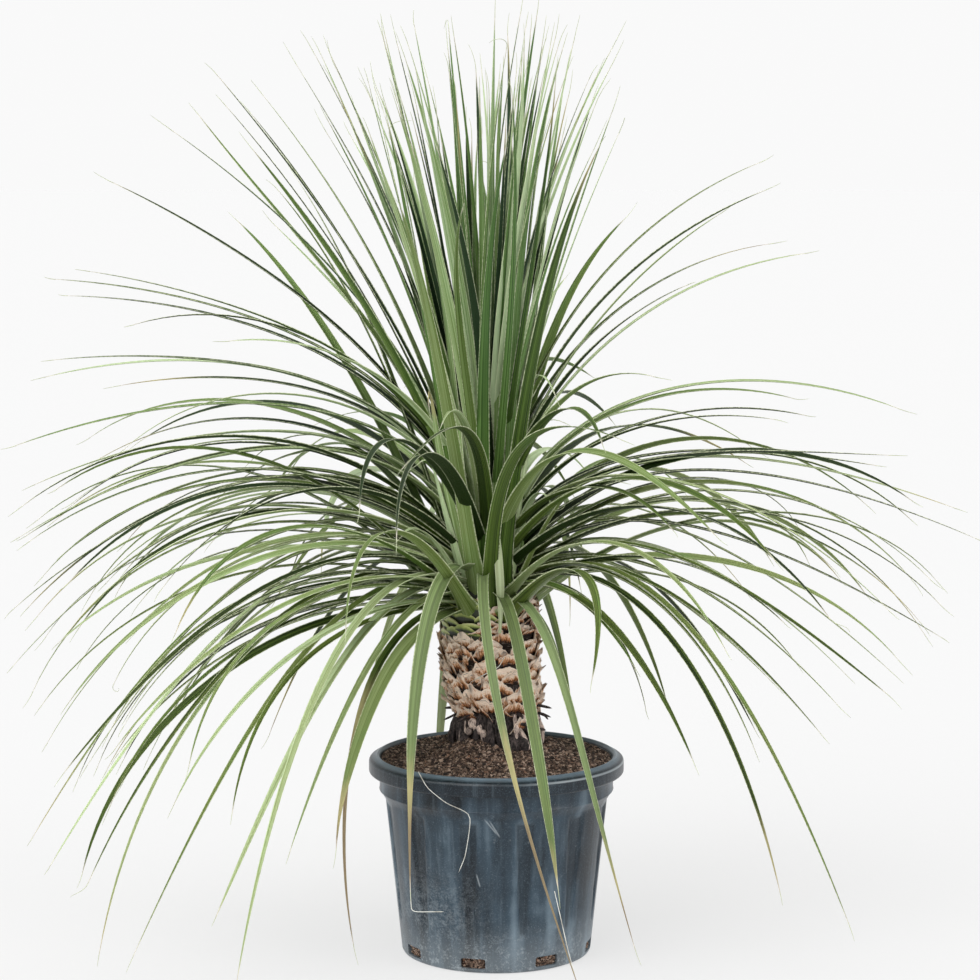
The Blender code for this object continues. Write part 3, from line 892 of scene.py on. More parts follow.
@dataclass
class Pot:
    """The fluted nursery pot with its rolled rim and drain windows. Angles are in degrees."""

    height: float = 0.2665
    rim: float = 0.170
    base: float = 0.126
    shoulder: float = 0.148
    shoulder_height: float = 0.208
    band: float = 0.1556
    band_bottom: float = 0.2200
    lip_bottom: float = 0.2415
    wall: float = 0.0018
    floor: float = 0.003
    columns: int = 360
    flutes: int = 12
    flute_depth: float = 0.003
    flute_bottom: float = 0.050
    flute_top: float = 0.205
    flute_top_angle: float = 11.5
    flute_bottom_angle: float = 5.0
    flute_edge_angle: float = 1.3
    flute_rows: int = 26
    windows: int = 8
    window_width: float = 0.033
    window_bottom: float = 0.006
    window_top: float = 0.020
    window_depth: float = 0.024
    window_corner: float = 0.0030
    window_first: float = -104.0

    def body_radius(self, z: float) -> float:
        """Return the radius of the tapered wall on its ribs at a height."""
        return blend(self.base, self.shoulder, z / self.shoulder_height)

    def inner_radius(self, z: float) -> float:
        """Return the radius of the smooth inside at a height."""
        return self.body_radius(z) - self.flute_depth - self.wall

    def window_bearing(self, number: int) -> float:
        """Return the bearing of a drain window in radians."""
        return radians(self.window_first + number * 360.0 / self.windows)

    def rows(self) -> list[Row]:
        """Work out the outline: under the foot, up the wall, over the lip and down the inside.

        Returns:
            Its rows of radius and height.
        """
        rows = [(self.base - 0.010, 0.0), (self.base - 0.004, 0.0), (self.base - 0.0012, 0.0012)]
        wall = [0.004, 0.006, 0.013, 0.020, 0.030, 0.040, 0.046]
        low, high = self.flute_bottom - 0.002, self.flute_top + 0.001
        wall += [blend(low, high, k / self.flute_rows) for k in range(self.flute_rows + 1)]
        rows += [(self.body_radius(z), z) for z in wall]
        for out, up in ((0.0001, 0.0), (0.0012, 0.0022)):
            rows.append((self.shoulder + out, self.shoulder_height + up))
        for out, up in ((-0.0018, -0.0022), (0.0002, -0.0006), (0.0007, 0.0006), (0.0002, 0.0016)):
            rows.append((self.band + out, self.band_bottom + up))
        lip = self.lip_bottom
        rows += [(self.band + 0.0002, lip - 0.0020), (self.band + 0.0010, lip - 0.0003)]
        rows.append((self.rim - 0.0042, lip + 0.0008))
        rows += self.arc(self.rim - 0.0036, lip + 0.0046, 0.0036, -80.0, 0.0, 5)
        rows += self.arc(self.rim - 0.0055, self.height - 0.0095, 0.0055, 8.0, 68.0, 6)
        rows += [(self.rim - 0.0060, self.height - 0.0032), (self.rim - 0.0085, self.height - 0.0025)]
        rows += self.arc(self.rim - 0.0117, self.height - 0.0019, 0.0019, 20.0, 160.0, 6)
        return rows + [
            (self.rim - 0.0150, self.height - 0.0035),
            (self.band - self.wall, self.height - 0.010),
            (self.band - self.wall, self.band_bottom + 2 * self.wall),
            (self.inner_radius(self.shoulder_height), self.shoulder_height),
            (self.inner_radius(self.floor), self.floor),
            (self.inner_radius(self.floor) / 3, self.floor),
        ]

    @staticmethod
    def arc(x: float, z: float, radius: float, start: float, end: float, count: int) -> list[Row]:
        """Return points of a round corner about a centre, from one angle to another in degrees."""
        turns = [radians(blend(start, end, k / (count - 1))) for k in range(count)]
        return [(x + radius * cos(a), z + radius * sin(a)) for a in turns]

    def press_flutes(self, pot: Piece) -> None:
        """Press the tapering flutes into the outside of the pot's wall.

        Args:
            pot: The pot.
        """
        points = points_of(pot)
        reach = np.hypot(points[:, 0], points[:, 1])
        z = points[:, 2]
        outside = reach > np.array([self.body_radius(h) for h in z]) - 0.0012
        share = np.clip((z - self.flute_bottom) / (self.flute_top - self.flute_bottom), 0.0, 1.0)
        half = 0.5 * blend(self.flute_bottom_angle, self.flute_top_angle, share)
        pitch = 360.0 / self.flutes
        turn = (np.degrees(np.arctan2(points[:, 1], points[:, 0])) - pitch / 2) % pitch
        off = np.abs(turn - pitch * (turn > pitch / 2))
        side = 1 - smooth(off, half - self.flute_edge_angle, half)
        ends = smooth(z, self.flute_bottom - 0.004, self.flute_bottom + 0.002)
        ends = ends * (1 - smooth(z, self.flute_top - 0.0015, self.flute_top + 0.0015))
        press = np.where(outside, self.flute_depth * side * ends, 0.0)
        points[:, :2] *= ((reach - press) / np.maximum(reach, 1e-9))[:, None]
        place(pot, points)

    def cut_windows(self, pot: Piece) -> None:
        """Cut the drain windows out of the pot with round-cornered blocks.

        Args:
            pot: The pot.
        """
        cutters = []
        middle = (self.window_bottom + self.window_top) / 2
        size = (self.window_depth, self.window_width, self.window_top - self.window_bottom)
        for k in range(self.windows):
            bearing = self.window_bearing(k)
            spot = spot_at(self.inner_radius(self.window_bottom), bearing, middle)
            bpy.ops.mesh.primitive_cube_add(size=1.0, location=spot, rotation=(0.0, 0.0, bearing), scale=size)
            cutter = named("window_cutter")
            settle(cutter)
            modify(cutter, "BEVEL", width=self.window_corner, segments=3)
            cutters.append(cutter)
        cutter = join("window_cutters", cutters)
        modify(pot, "BOOLEAN", operation="DIFFERENCE", solver="EXACT", object=cutter)
        bpy.data.objects.remove(cutter)

    def build(self) -> None:
        """Build the pot, and store on it how deep in a flute each point lies."""
        pot = turned("moulded_pot", self.rows(), self.columns)
        self.press_flutes(pot)
        self.cut_windows(pot)
        smooth_shade(pot, 38.0)
        points = points_of(pot)
        z = points[:, 2]
        pressed = self.body_radius(z) - np.hypot(points[:, 0], points[:, 1])
        on_wall = (pressed < self.flute_depth + 0.0004) & (z > 0.030) & (z < self.shoulder_height)
        # The finish reads this depth to paint shade into the flutes and highlights along their edges.
        mark(pot, flute=np.where(on_wall, np.clip(pressed / self.flute_depth, 0.0, 1.0), 0.0))
        hand_over(pot, PotPlastic().material(), "pot_plastic", "pot")


@dataclass
class Soil:
    """Potting mix nearly up to the rim, mounded round the stem, with loose crumbs of bark on top."""

    pot: Pot
    height: float = 0.261
    mound: float = 0.019
    mound_inner: float = 0.060
    mound_outer: float = 0.135
    ripple: float = 0.0022
    hole: float = 0.049
    band_height: float = 0.2245
    gap: float = 0.0008
    columns: int = 176
    rings: int = 36
    crumbs: int = 4600
    crumb_size: Row = (0.0007, 0.0019)
    crumb_roughness: float = 0.35
    crumb_stretch: Spot = (1.5, 1.0, 0.62)
    window_crumbs: int = 26
    window_crumb_size: float = 0.0018
    heap: float = 0.015
    heap_spot: Row = (-0.030, -0.052)
    heap_reach: float = 0.034
    seed: int = 5

    def surface(self, x: float, y: float) -> float:
        """Work out the uneven top: a mound with ripples, and a heap at the stem's front left.

        Args:
            x: The place across.
            y: The place in depth.

        Returns:
            The height there.
        """
        swell = sin(31.0 * x + 0.7) * cos(27.0 * y - 0.4) + 0.5 * sin(61.0 * x - 47.0 * y)
        share = within((self.mound_outer - hypot(x, y)) / (self.mound_outer - self.mound_inner))
        away = hypot(x - self.heap_spot[0], y - self.heap_spot[1]) / self.heap_reach
        heap = self.heap * exp(-away * away)
        return self.height + self.mound * share * share * (3 - 2 * share) + heap + self.ripple * swell / 1.5

    def build_bed(self) -> Piece:
        """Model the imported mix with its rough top.

        Returns:
            The bed.
        """
        low = self.pot.inner_radius(self.pot.floor) - self.gap
        high = self.pot.inner_radius(self.pot.shoulder_height) - self.gap
        band = self.pot.band - self.pot.wall - self.gap
        foot = self.pot.floor + 0.0004
        rows = [(low - 0.02, foot), (low, foot), (high, self.pot.shoulder_height), (band, self.band_height)]
        rows += [(blend(band, self.hole, k / self.rings), self.height) for k in range(self.rings + 1)]
        rows.append((self.hole - 0.012, self.height - 0.02))
        bed = turned("potting_mix", rows, self.columns)
        points = points_of(bed)
        rng = np.random.default_rng(self.seed)
        reach = np.hypot(points[:, 0], points[:, 1])
        top = points[:, 2] > self.height - 0.001
        for k in np.flatnonzero(top):
            points[k, 2] = self.surface(points[k, 0], points[k, 1])
        loose = top & (reach < band - 0.0005)
        points[loose, 2] += rng.normal(0.0, 0.0012, loose.sum())
        points[loose, :2] += rng.normal(0.0, 0.0007, (loose.sum(), 2))
        place(bed, points)
        smooth_shade(bed, 50.0)
        return bed

    def crumb_blank(self) -> Blank:
        """Model one crumb: an uneven lump with a radius of about 1, which its copies scale down.

        Returns:
            The blank.
        """
        bpy.ops.mesh.primitive_ico_sphere_add(subdivisions=1, radius=1.0)
        crumb = named("crumb")
        with editing(crumb):
            bpy.ops.transform.vertex_random(offset=self.crumb_roughness, seed=self.seed)
            bpy.ops.transform.resize(value=self.crumb_stretch)
        return Blank(crumb)

    def build_crumbs(self) -> Piece:
        """Strew crumbs over the top and pack some behind the drain windows.

        Returns:
            The crumbs as one piece.
        """
        rng = random.Random(self.seed)
        blank = self.crumb_blank()
        pot = self.pot
        outer = pot.band - pot.wall - 0.004
        least, more = self.crumb_size
        spots = []
        for _ in range(self.crumbs):
            reach = sqrt(blend(self.hole ** 2, outer ** 2, rng.random()))
            x, y, _ = spot_at(reach, rng.uniform(0.0, 2 * pi), 0.0)
            size = least + more * rng.random() ** 3
            spots.append((x, y, self.surface(x, y) + 0.3 * size, size, rng.random() ** 1.2 * 0.97))
        for k in range(pot.windows * self.window_crumbs):
            z = rng.uniform(pot.window_bottom + 0.001, pot.window_top - 0.001)
            reach = pot.inner_radius(z) - rng.uniform(-0.0008, 0.0012)
            off = rng.uniform(-0.45, 0.45) * pot.window_width / reach
            spot = spot_at(reach, pot.window_bearing(k % pot.windows) + off, z)
            spots.append((*spot, self.window_crumb_size, rng.uniform(0.55, 1.0)))
        parts = []
        for *spot, size, tone in spots:
            spin, tilt = rng.uniform(0, 6.3), rng.uniform(-0.9, 0.9)
            turn = np.array(Matrix.Rotation(spin, 3, "Z") @ Matrix.Rotation(tilt, 3, "X"))
            parts.append(blank.copy(size * blank.points @ turn.T + np.array(spot), tone=tone))
        return join("soil_crumbs", parts)

    def build(self) -> None:
        """Build the bed and the crumbs."""
        hand_over(self.build_bed(), PottingMix().material(loose=False), "peat", "soil")
        hand_over(self.build_crumbs(), PottingMix().material(loose=True), "peat")


class ScaleKind(Enum):
    """The two kinds of leaf base that clothe the stem."""

    DRY = "dry"
    LIVE = "live"


@dataclass
class Stem:
    """The leaning stem under its coat of overlapping leaf bases."""

    foot: float = 0.326
    top: float = 0.4305
    radius: float = 0.0625
    waist: float = 0.0545
    waist_height: float = 0.028
    buried: float = 0.0515
    lean_bottom: float = 0.31
    lean_top: float = 0.44
    crown_x: float = -0.010
    collar_radius: float = 0.061
    collar_top: float = 0.476
    sheath_top: float = 0.550
    sheath_radius: float = 0.046
    dry_round: int = 14
    live_round: int = 13
    dry_rows: int = 9
    live_rows: int = 6
    green_bottom: float = 0.432
    slivers: int = 80
    scale_faces: int = 6
    tears: int = 36
    broad_tear: int = 6
    stand: float = 0.0062
    spiked: float = 0.45
    knot: float = 0.07
    roots: int = 104
    soil_height: float = 0.280
    seed: int = 21
    knobs: tuple[tuple[float, ...], ...] = (
        (-0.031, -0.049, 0.316, 0.0052, 0.95), (-0.024, -0.052, 0.309, 0.0056, 0.90),
        (-0.017, -0.054, 0.303, 0.0046, 0.85), (-0.036, -0.046, 0.305, 0.0050, 0.78),
        (-0.041, -0.038, 0.292, 0.0080, 0.60), (0.020, -0.052, 0.288, 0.0090, 0.20),
        (0.034, -0.045, 0.286, 0.0085, 0.30), (0.047, -0.026, 0.300, 0.0080, 0.75),
        (0.026, -0.050, 0.308, 0.0048, 0.85), (-0.005, -0.056, 0.284, 0.0060, 0.40),
        (0.010, 0.055, 0.288, 0.0090, 0.50), (-0.045, 0.030, 0.288, 0.0085, 0.30),
    )

    def middle(self, z: float) -> float:
        """Return the x of the stem's axis at a height."""
        share = max(0.0, (z - self.lean_bottom) / (self.lean_top - self.lean_bottom))
        return self.crown_x * share * (1.6 - 0.6 * share) if share < 1.0 else self.crown_x

    def bark_radius(self, z: float) -> float:
        """Work out the radius under the scales.

        Args:
            z: The height.

        Returns:
            The radius there.
        """
        if z > self.top:
            share = within((z - self.collar_top) / (self.sheath_top - self.collar_top))
            return blend(self.collar_radius, self.sheath_radius, share)
        return blend(self.waist, self.radius, sin(0.5 * pi * within((z - self.foot) / self.waist_height)))

    @staticmethod
    def roof(kind: ScaleKind, across: np.ndarray) -> np.ndarray:
        """Return the height of a scale's upper edge: roof-shaped if dry, round if live."""
        drop, power = (0.50, 1.25) if kind is ScaleKind.DRY else (0.60, 2.2)
        return 1.0 - drop * np.abs(across) ** power

    def scale_blank(self, kind: ScaleKind, columns: int) -> Blank:
        """Model one scale: a sheet 1 wide and 1 high with its upper edge in shape.

        Args:
            kind: Dry or live.
            columns: Faces across it.

        Returns:
            The blank, with x across, y up and z out.
        """
        scale = flat_sheet("scale", columns, self.scale_faces)
        points = points_of(scale)
        points[:, 1] *= self.roof(kind, 2 * points[:, 0])
        place(scale, points)
        modify(scale, "SOLIDIFY", thickness=0.10, offset=-1.0)
        smooth_shade(scale, 50.0)
        return Blank(scale)

    def wrap(
        self,
        blank: Blank,
        kind: ScaleKind,
        bearing: float,
        low: float,
        high: float,
        rng: random.Random,
        sliver: bool = False,
    ) -> Piece:
        """Bend a copy of a scale round the stem.

        Args:
            blank: The scale.
            kind: Dry and torn, or live and plump.
            bearing: The middle of the scale, in radians.
            low: Height of its foot.
            high: Height of its point.
            rng: The draws.
            sliver: Whether it is a narrow torn strip that stands off and leans.

        Returns:
            The scale in its place.
        """
        dry = kind is ScaleKind.DRY
        x, y, out = blank.points.T
        across = 2 * x
        v = np.clip(y / self.roof(kind, across), 0.0, 1.0)
        column = np.rint((x + 0.5) * self.tears).astype(int)
        ragged = np.array([rng.uniform(-1, 1) for _ in range(self.tears + 1)])[column]
        broad = column // self.broad_tear
        wander = np.array([rng.uniform(-1, 1) for _ in range(self.tears // self.broad_tear + 1)])[broad]
        edge = smooth(v, 0.45, 1.0)
        if dry:
            half = pi / self.dry_round * (rng.uniform(0.14, 0.36) if sliver else rng.uniform(1.15, 1.75))
            stand = self.stand * (rng.uniform(0.7, 1.7) if sliver else rng.uniform(0.30, 1.25))
            skew = 0.0 if sliver else rng.uniform(-0.50, 0.50)
            tear = 0.065 * ragged + 0.08 * wander
            profile = v ** 1.5 * (0.75 + 0.25 * (1 - across ** 2))
            profile += rng.uniform(0.0, 0.6) * edge * np.abs(across) ** 3
            fringe, thick = 0.0006, 0.012
        else:
            half = pi / self.live_round * rng.uniform(0.95, 1.45)
            stand = 0.0038 * rng.uniform(0.5, 1.4)
            skew = rng.uniform(-0.25, 0.25)
            tear = 0.05 * wander
            profile = np.sin(np.pi * 0.62 * v) * (1 - 0.40 * across ** 2)
            fringe, thick = 0.0002, 0.018
        spike = rng.uniform(0.003, 0.0075) if dry and rng.random() < self.spiked else 0.0
        barb = spike * np.exp(-((across - rng.uniform(-0.6, 0.6)) / 0.10) ** 2) * edge ** 2
        rise = low + (high - low) * (y + edge * tear + skew * across * v) + 0.8 * barb
        lift = stand * profile - 0.0018 + edge * ragged * fringe + out * thick + barb
        narrow = 1 - 0.7 * v if sliver else 1.0
        lean = rng.uniform(-0.16, 0.16) * v if sliver else 0.0
        turn = bearing + half * across * narrow + lean
        reach = np.array([self.bark_radius(z) for z in rise]) + lift
        middle = np.array([self.middle(z) for z in rise])
        points = np.stack([middle + reach * np.cos(turn), reach * np.sin(turn), rise], axis=1)
        return blank.copy(points, tone=rng.random(), age=np.clip(barb / 0.006, 0, 0.8))

    def build_coat(self) -> None:
        """Clothe the stem with rows of scales, each turned half a scale. The collar's right side is dry."""
        rng = random.Random(self.seed)
        blanks = {kind: self.scale_blank(kind, columns) for kind, columns in zip(ScaleKind, (16, 12))}
        strip = self.scale_blank(ScaleKind.DRY, 4)
        coats: dict[ScaleKind, list[Piece]] = {kind: [] for kind in ScaleKind}
        dry_pitch = (self.green_bottom - self.foot) / self.dry_rows
        live_pitch = (self.collar_top - self.green_bottom) / self.live_rows
        belts = (
            (ScaleKind.DRY, self.dry_round, self.foot, 1.75, dry_pitch, self.dry_rows),
            (ScaleKind.LIVE, self.live_round, self.green_bottom, 0.7, live_pitch, self.live_rows),
        )
        for kind, count, bottom, sunk, pitch, rows in belts:
            for row, k in product(range(rows + 1), range(count)):
                low = bottom + (row - sunk) * pitch
                bearing = 2 * pi * (k + 0.5 * (row % 2) + rng.uniform(-0.22, 0.22)) / count
                if low < self.foot - dry_pitch and cos(bearing) < 0.3:
                    continue
                worn = kind is ScaleKind.LIVE and cos(bearing + 0.35) > 0.35 + 0.15 * sin(5 * row)
                made = ScaleKind.DRY if worn else kind
                start = low + rng.uniform(-0.30, 0.30) * pitch
                end = start + (1.9 if made is ScaleKind.LIVE else 2.0) * pitch * rng.uniform(0.75, 1.30)
                coats[made].append(self.wrap(blanks[made], made, bearing, start, end, rng))
        for _ in range(self.slivers):
            bearing = rng.uniform(0.0, 2 * pi)
            top = self.collar_top if cos(bearing + 0.35) > 0.45 else self.green_bottom
            start = rng.uniform(self.foot - 0.004, top - 0.012)
            end = start + rng.uniform(0.011, 0.024)
            sliver = self.wrap(strip, ScaleKind.DRY, bearing, start, end, rng, sliver=True)
            coats[ScaleKind.DRY].append(sliver)
        dry, live = (join(f"{kind.value}_leaf_bases", coats[kind]) for kind in ScaleKind)
        hand_over(dry, DryScales().material(), "dry_leaf_bases", "trunk")
        hand_over(live, LiveScales().material(), "leaf_green")

    def build_core(self) -> None:
        """Build the dark bark under the scales, from inside the soil to inside the crown."""
        rows = [(0.030, 0.236), (0.047, 0.236)]
        rows += [(self.buried, z) for z in (0.262, 0.280, 0.292)]
        levels = (0.300, 0.306, 0.316, 0.330, 0.350, 0.380, 0.410, self.top - 0.002)
        rows += [(self.bark_radius(z) - 0.002, z) for z in levels]
        rows += [(self.collar_radius - 0.004, self.top), (self.collar_radius - 0.003, self.collar_top)]
        core = turned("stem_bark", rows + [(0.040, 0.49)], columns=96)
        points = points_of(core)
        low = points[:, 2] < self.foot
        points[low, :2] *= np.random.default_rng(self.seed).uniform(0.93, 1.05, low.sum())[:, None]
        points[:, 0] += np.array([self.middle(z) for z in points[:, 2]])
        place(core, points)
        smooth_shade(core, 50.0)
        mark(core, tone=0.1)
        hand_over(core, RootBark().material(), "dry_leaf_bases")

    def lump_blank(self) -> Blank:
        """Model one woody lump with a radius of about 1, which its copies scale down.

        Returns:
            The blank.
        """
        bpy.ops.mesh.primitive_ico_sphere_add(subdivisions=3, radius=1.0)
        lump = named("lump")
        with editing(lump):
            bpy.ops.transform.vertex_random(offset=self.knot, seed=self.seed)
        smooth_shade(lump, 180.0)
        return Blank(lump)

    def build_roots(self) -> None:
        """Build the knot of dead roots, stubs and woody lumps at the foot."""
        rng = random.Random(self.seed)
        strand = Strand(sides=6, segments=8)
        parts = []
        for k in range(self.roots):
            out = Vector(spot_at(1.0, radians(k * GOLDEN_ANGLE) + rng.uniform(-0.2, 0.2), 0.0))
            side = Vector((-out.y, out.x, 0.0))
            hanging = k % 5 != 0
            start = out * rng.uniform(0.048, 0.053) + Vector((0.0, 0.0, rng.uniform(0.300, 0.338)))
            reach = rng.uniform(0.053, 0.063) if hanging else rng.uniform(0.062, 0.080)
            end = out * reach + side * rng.uniform(-0.016, 0.016)
            end.z = self.soil_height - 0.004 if hanging else start.z - rng.uniform(0.0, 0.012)
            bend = start.lerp(end, 0.5) + out * rng.uniform(0.001, 0.006) + side * rng.uniform(-0.004, 0.004)
            thick = rng.uniform(0.0012, 0.0042) if hanging else rng.uniform(0.0012, 0.0026)
            path = [start, start.lerp(bend, 0.6), bend, bend.lerp(end, 0.5), end]
            radii = [share * thick for share in (1.0, 1.0, 0.9, 0.8, 0.45)]
            parts.append(strand.along(path, radii, tone=rng.random() ** 1.5))
        lump = self.lump_blank()
        for *spot, size, tone in self.knobs:
            stretch = np.array([rng.uniform(0.8, 1.2), rng.uniform(0.8, 1.1), rng.uniform(1.1, 1.5)]) * size
            parts.append(lump.copy(lump.points * stretch + np.array(spot), tone=tone))
        hand_over(join("root_stubs", parts), RootBark().material(), "dry_leaf_bases")

    def build(self) -> None:
        """Build the stem, its scales and its roots."""
        self.build_core()
        self.build_roots()
        self.build_coat()


@dataclass
class Leaf:
    """A leaf in an upright plane through the crown's axis.

    It leaves the crown at bearing and rise, and ends at reach from the axis and at height, where it points
    fall degrees above the horizontal. hang moves its bend towards the root. swing carries the tip sideways,
    and roll and twist turn the blade about its own line. Angles are in degrees. width is a share of the usual
    width, dry the share of the length at which the green ends, age how olive it is, pale how bleached, and
    tone how light, where that isn't left to chance. The higher its taper, the longer it stays wide. root is
    its start as radius and height, where it isn't the usual one, and a blunt leaf is cut off square.
    """

    bearing: float
    rise: float
    fall: float
    reach: float
    height: float
    hang: float = 0.0
    swing: float = 0.0
    roll: float = 0.0
    twist: float = 0.0
    width: float = 1.0
    dry: float = 0.0
    age: float = 0.2
    pale: float = 0.0
    tone: float | None = None
    taper: float = 1.6
    root: Row | None = None
    blunt: bool = False

    def facing(self, side: float) -> float:
        """Return 1 if the leaf grows towards a side in degrees, -1 if away, and what lies between."""
        return cos(radians(self.bearing - side))


@dataclass
class Crown:
    """All the leaves: those listed one by one, and those that grow round the stem by the golden angle."""

    middle_x: float = -0.010
    root_low: float = 0.452
    root_high: float = 0.545
    root_low_radius: float = 0.040
    root_high_radius: float = 0.006
    looped_root: Row = (0.040, 0.478)
    width: float = 0.022
    thickness: float = 0.0009
    blank_length: float = 0.70
    blade_columns: int = 4
    segments: int = 30
    line_steps: int = 160
    blade_share: float = 0.975
    tip_width: float = 0.0007
    thread_radii: Row = (0.00050, 0.00022)
    upright: int = 50
    upright_length: float = 0.70
    arching: int = 34
    arching_length: float = 0.69
    slim: int = 58
    filling: int = 32
    combed: int = 14
    hanging_left: int = 23
    hanging_right: int = 10
    cloak: int = 36
    lean: float = 3.5
    front_reach: float = 0.570
    curly: float = 0.035
    curled_length: Row = (0.020, 0.034)
    thread_length: Row = (0.010, 0.028)
    steep_fall: float = 30
    low_fall: float = -30
    steep_rise: float = 76
    open_side: float = 0.40
    seed: int = 7
    blade: Blank = field(init=False)
    thread: Strand = field(init=False)

    def root_of(self, rise: float) -> Row:
        """Work out where a leaf starts.

        Args:
            rise: Its angle at the root, in degrees.

        Returns:
            The radius and the height.
        """
        share = within(rise / 90.0)
        ends = ((self.root_low_radius, self.root_high_radius), (self.root_low, self.root_high))
        return tuple(blend(low, high, share) for low, high in ends)

    def arc_leaf(self, bearing: float, rise: float, fall: float, length: float, **more: object) -> Leaf:
        """Lay out a leaf that bends evenly, out of the crown's open spaces.

        Args:
            bearing: Where it grows to, in degrees.
            rise: Its angle at the root.
            fall: Its angle at the tip. Both are changed for a leaf that would cross an open space.
            length: Its length.
            more: The leaf's other values.

        Returns:
            The leaf.
        """
        across, slack = cos(radians(bearing)), 8 * sin(0.37 * bearing)
        if abs(across) > self.open_side and fall < 60 and not (across < 0 and slack < 0 and fall > 12):
            if fall > self.steep_fall:
                rise, fall = 87.0, 66 + slack
            else:
                rise, fall = min(rise, (48 if across > 0 else 54) + slack), min(fall, slack - 42)
        if fall > self.steep_fall:
            rise, fall = rise + self.lean * across, fall + self.lean * across
        start, low = self.root_of(rise)
        bend = radians(max(rise - fall, 1.0))
        chord = length * sin(bend / 2) / (bend / 2)
        slope = radians(rise) - bend / 2
        return Leaf(bearing, rise, fall, start + chord * cos(slope), low + chord * sin(slope), **more)

    @staticmethod
    def front_leaves() -> list[Leaf]:
        """Lay out the leaves that hang over the pot, one of them behind it, and a short cut one.

        Returns:
            The leaves.
        """
        rows = (
            (-66, 22, -80, 0.30, 0.05, 0.1, 15, 10, 60, 0.56, 0.80, 0.45, 0.16, 0.45),
            (-79.5, 24, -84, 0.290, 0.140, 0.1, 6.5, -8, 30, 0.70, 0.96, 0.55, 0.10, 0.42, 5.0),
            (-95, 36, -84, 0.36, 0.02, 0.15, 24, 8, -50, 0.66, 0.58, 0.45, 0.14, 0.43),
            (-116.7, 42, -88, 0.255, 0.125, 0.1, 4, 0, 30, 1.15, 0.74, 0.45, 0.12, 0.43, 2.2),
            (-131, 8, -84, 0.300, 0.180, 0.10, 2, 6, -70, 0.90, 0.84, 0.80, 0.05, 0.54, 2.4),
            (-141, 12, -104, 0.225, 0.03, 0.20, 2, -6, -60, 0.50, 0.42, 0.65, 0.0, 0.40, 2.2),
            (106, 36, -88, 0.205, 0.08, 0, 8, 0, 0, 0.95, 1.1, 0.9, 0.22, 0.70),
            (-56, 20, -74, 0.175, 0.385, 0.1, 0, 10, 30, 0.42, 0.9, 0.3, 0.2, 0.5),
            (-47, 32, -58, 0.26, 0.405, 0.1, 4, 0, 20, 0.8, 1.1, 0.6, 0.0, 0.5),
            (-79, 70, 69, 0.128, 0.588, 0, -8, 0, 0, 0.50, 1.6, 0.9, 0.40, 0.80, 1.6, (0.076, 0.440), True),
        )
        return [Leaf(*row) for row in rows]

    def outstanding(self) -> list[Leaf]:
        """Lay out the leaves that give the plant its outline, each one listed.

        Returns:
            The leaves.
        """
        upper_left = (
            (170, 76, 24, 0.53, 1.03), (168, 84, 58, 0.268, 1.195), (196, 85, 62, 0.240, 1.205),
            (182, 84, 66, 0.205, 1.16), (190, 78, 50, 0.365, 1.175), (184, 79, 34, 0.425, 1.10),
            (162, 75, 50, 0.425, 1.13), (150, 78, 38, 0.35, 0.975), (200, 81, 8, 0.55, 0.915),
            (180, 80, 3, 0.59, 0.898), (167, 78, 0, 0.61, 0.870), (190, 79, -18, 0.48, 0.835),
            (218, 80, -5, 0.42, 0.83),
        )
        left = (
            (185, 78, -8, 0.587, 0.790), (173, 76, -15, 0.62, 0.760), (160, 76, -12, 0.56, 0.740),
            (187, 76, -20, 0.635, 0.679), (200, 76, -42, 0.50, 0.677), (178, 70, -25, 0.622, 0.615),
            (192, 68, -32, 0.63, 0.562), (172, 66, -35, 0.65, 0.536), (196, 60, -42, 0.64, 0.475),
            (184, 56, -52, 0.64, 0.374), (165, 56, -40, 0.625, 0.50), (180, 48, -60, 0.60, 0.26),
            (170, 56, -47, 0.655, 0.43),
        )
        lower_left = (
            (190, 42, -60, 0.615, 0.157), (198, 38, -58, 0.60, 0.14), (207, 30, -62, 0.57, 0.137),
            (203, 28, -80, 0.54, 0.03, 0.2), (212, 30, -62, 0.53, 0.05, 0.2), (226, 33, -78, 0.45, 0.03, 0.1),
            (218, 28, -60, 0.44, 0.10, 0.2), (226, 25, -65, 0.36, 0.18, 0.2), (186, 34, -64, 0.49, 0.22),
            (178, 46, -60, 0.55, 0.229), (164, 42, -65, 0.50, 0.207), (206, 36, -50, 0.60, 0.28),
        )
        upper_right = (
            (8, 87, 20, 0.38, 1.055, 0.1), (-8, 86, 20, 0.375, 1.02, 0.15), (3, 82, 30, 0.32, 0.99),
            (14, 86, 4, 0.405, 0.94, 0.1), (-3, 84, 8, 0.43, 0.935, 0.1), (-30, 82, 22, 0.30, 0.90),
        )
        right = (
            (4, 78, -22, 0.565, 0.718), (-42, 80, -12, 0.29, 0.78), (20, 76, -16, 0.46, 0.725),
            (-20, 72, -10, 0.40, 0.72), (15, 70, -14, 0.46, 0.705), (-10, 66, 0, 0.54, 0.675),
            (5, 62, -20, 0.645, 0.583), (-6, 58, -24, 0.655, 0.555), (10, 68, -8, 0.55, 0.640),
            (-30, 66, -42, 0.58, 0.49), (-55, 60, -32, 0.40, 0.60),
        )
        lower_right = (
            (-2, 48, -30, 0.615, 0.415), (7, 52, -42, 0.56, 0.354), (-14, 44, -38, 0.54, 0.36),
            (13, 42, -45, 0.515, 0.34), (-7, 38, -48, 0.47, 0.33), (-19, 36, -48, 0.46, 0.31),
            (0, 42, -45, 0.38, 0.355), (-28, 36, -66, 0.52, 0.08), (-33, 32, -76, 0.44, 0.12),
            (-46, 28, -60, 0.37, 0.30), (-20, 30, -80, 0.22, 0.33), (-10, 36, -70, 0.36, 0.27),
        )
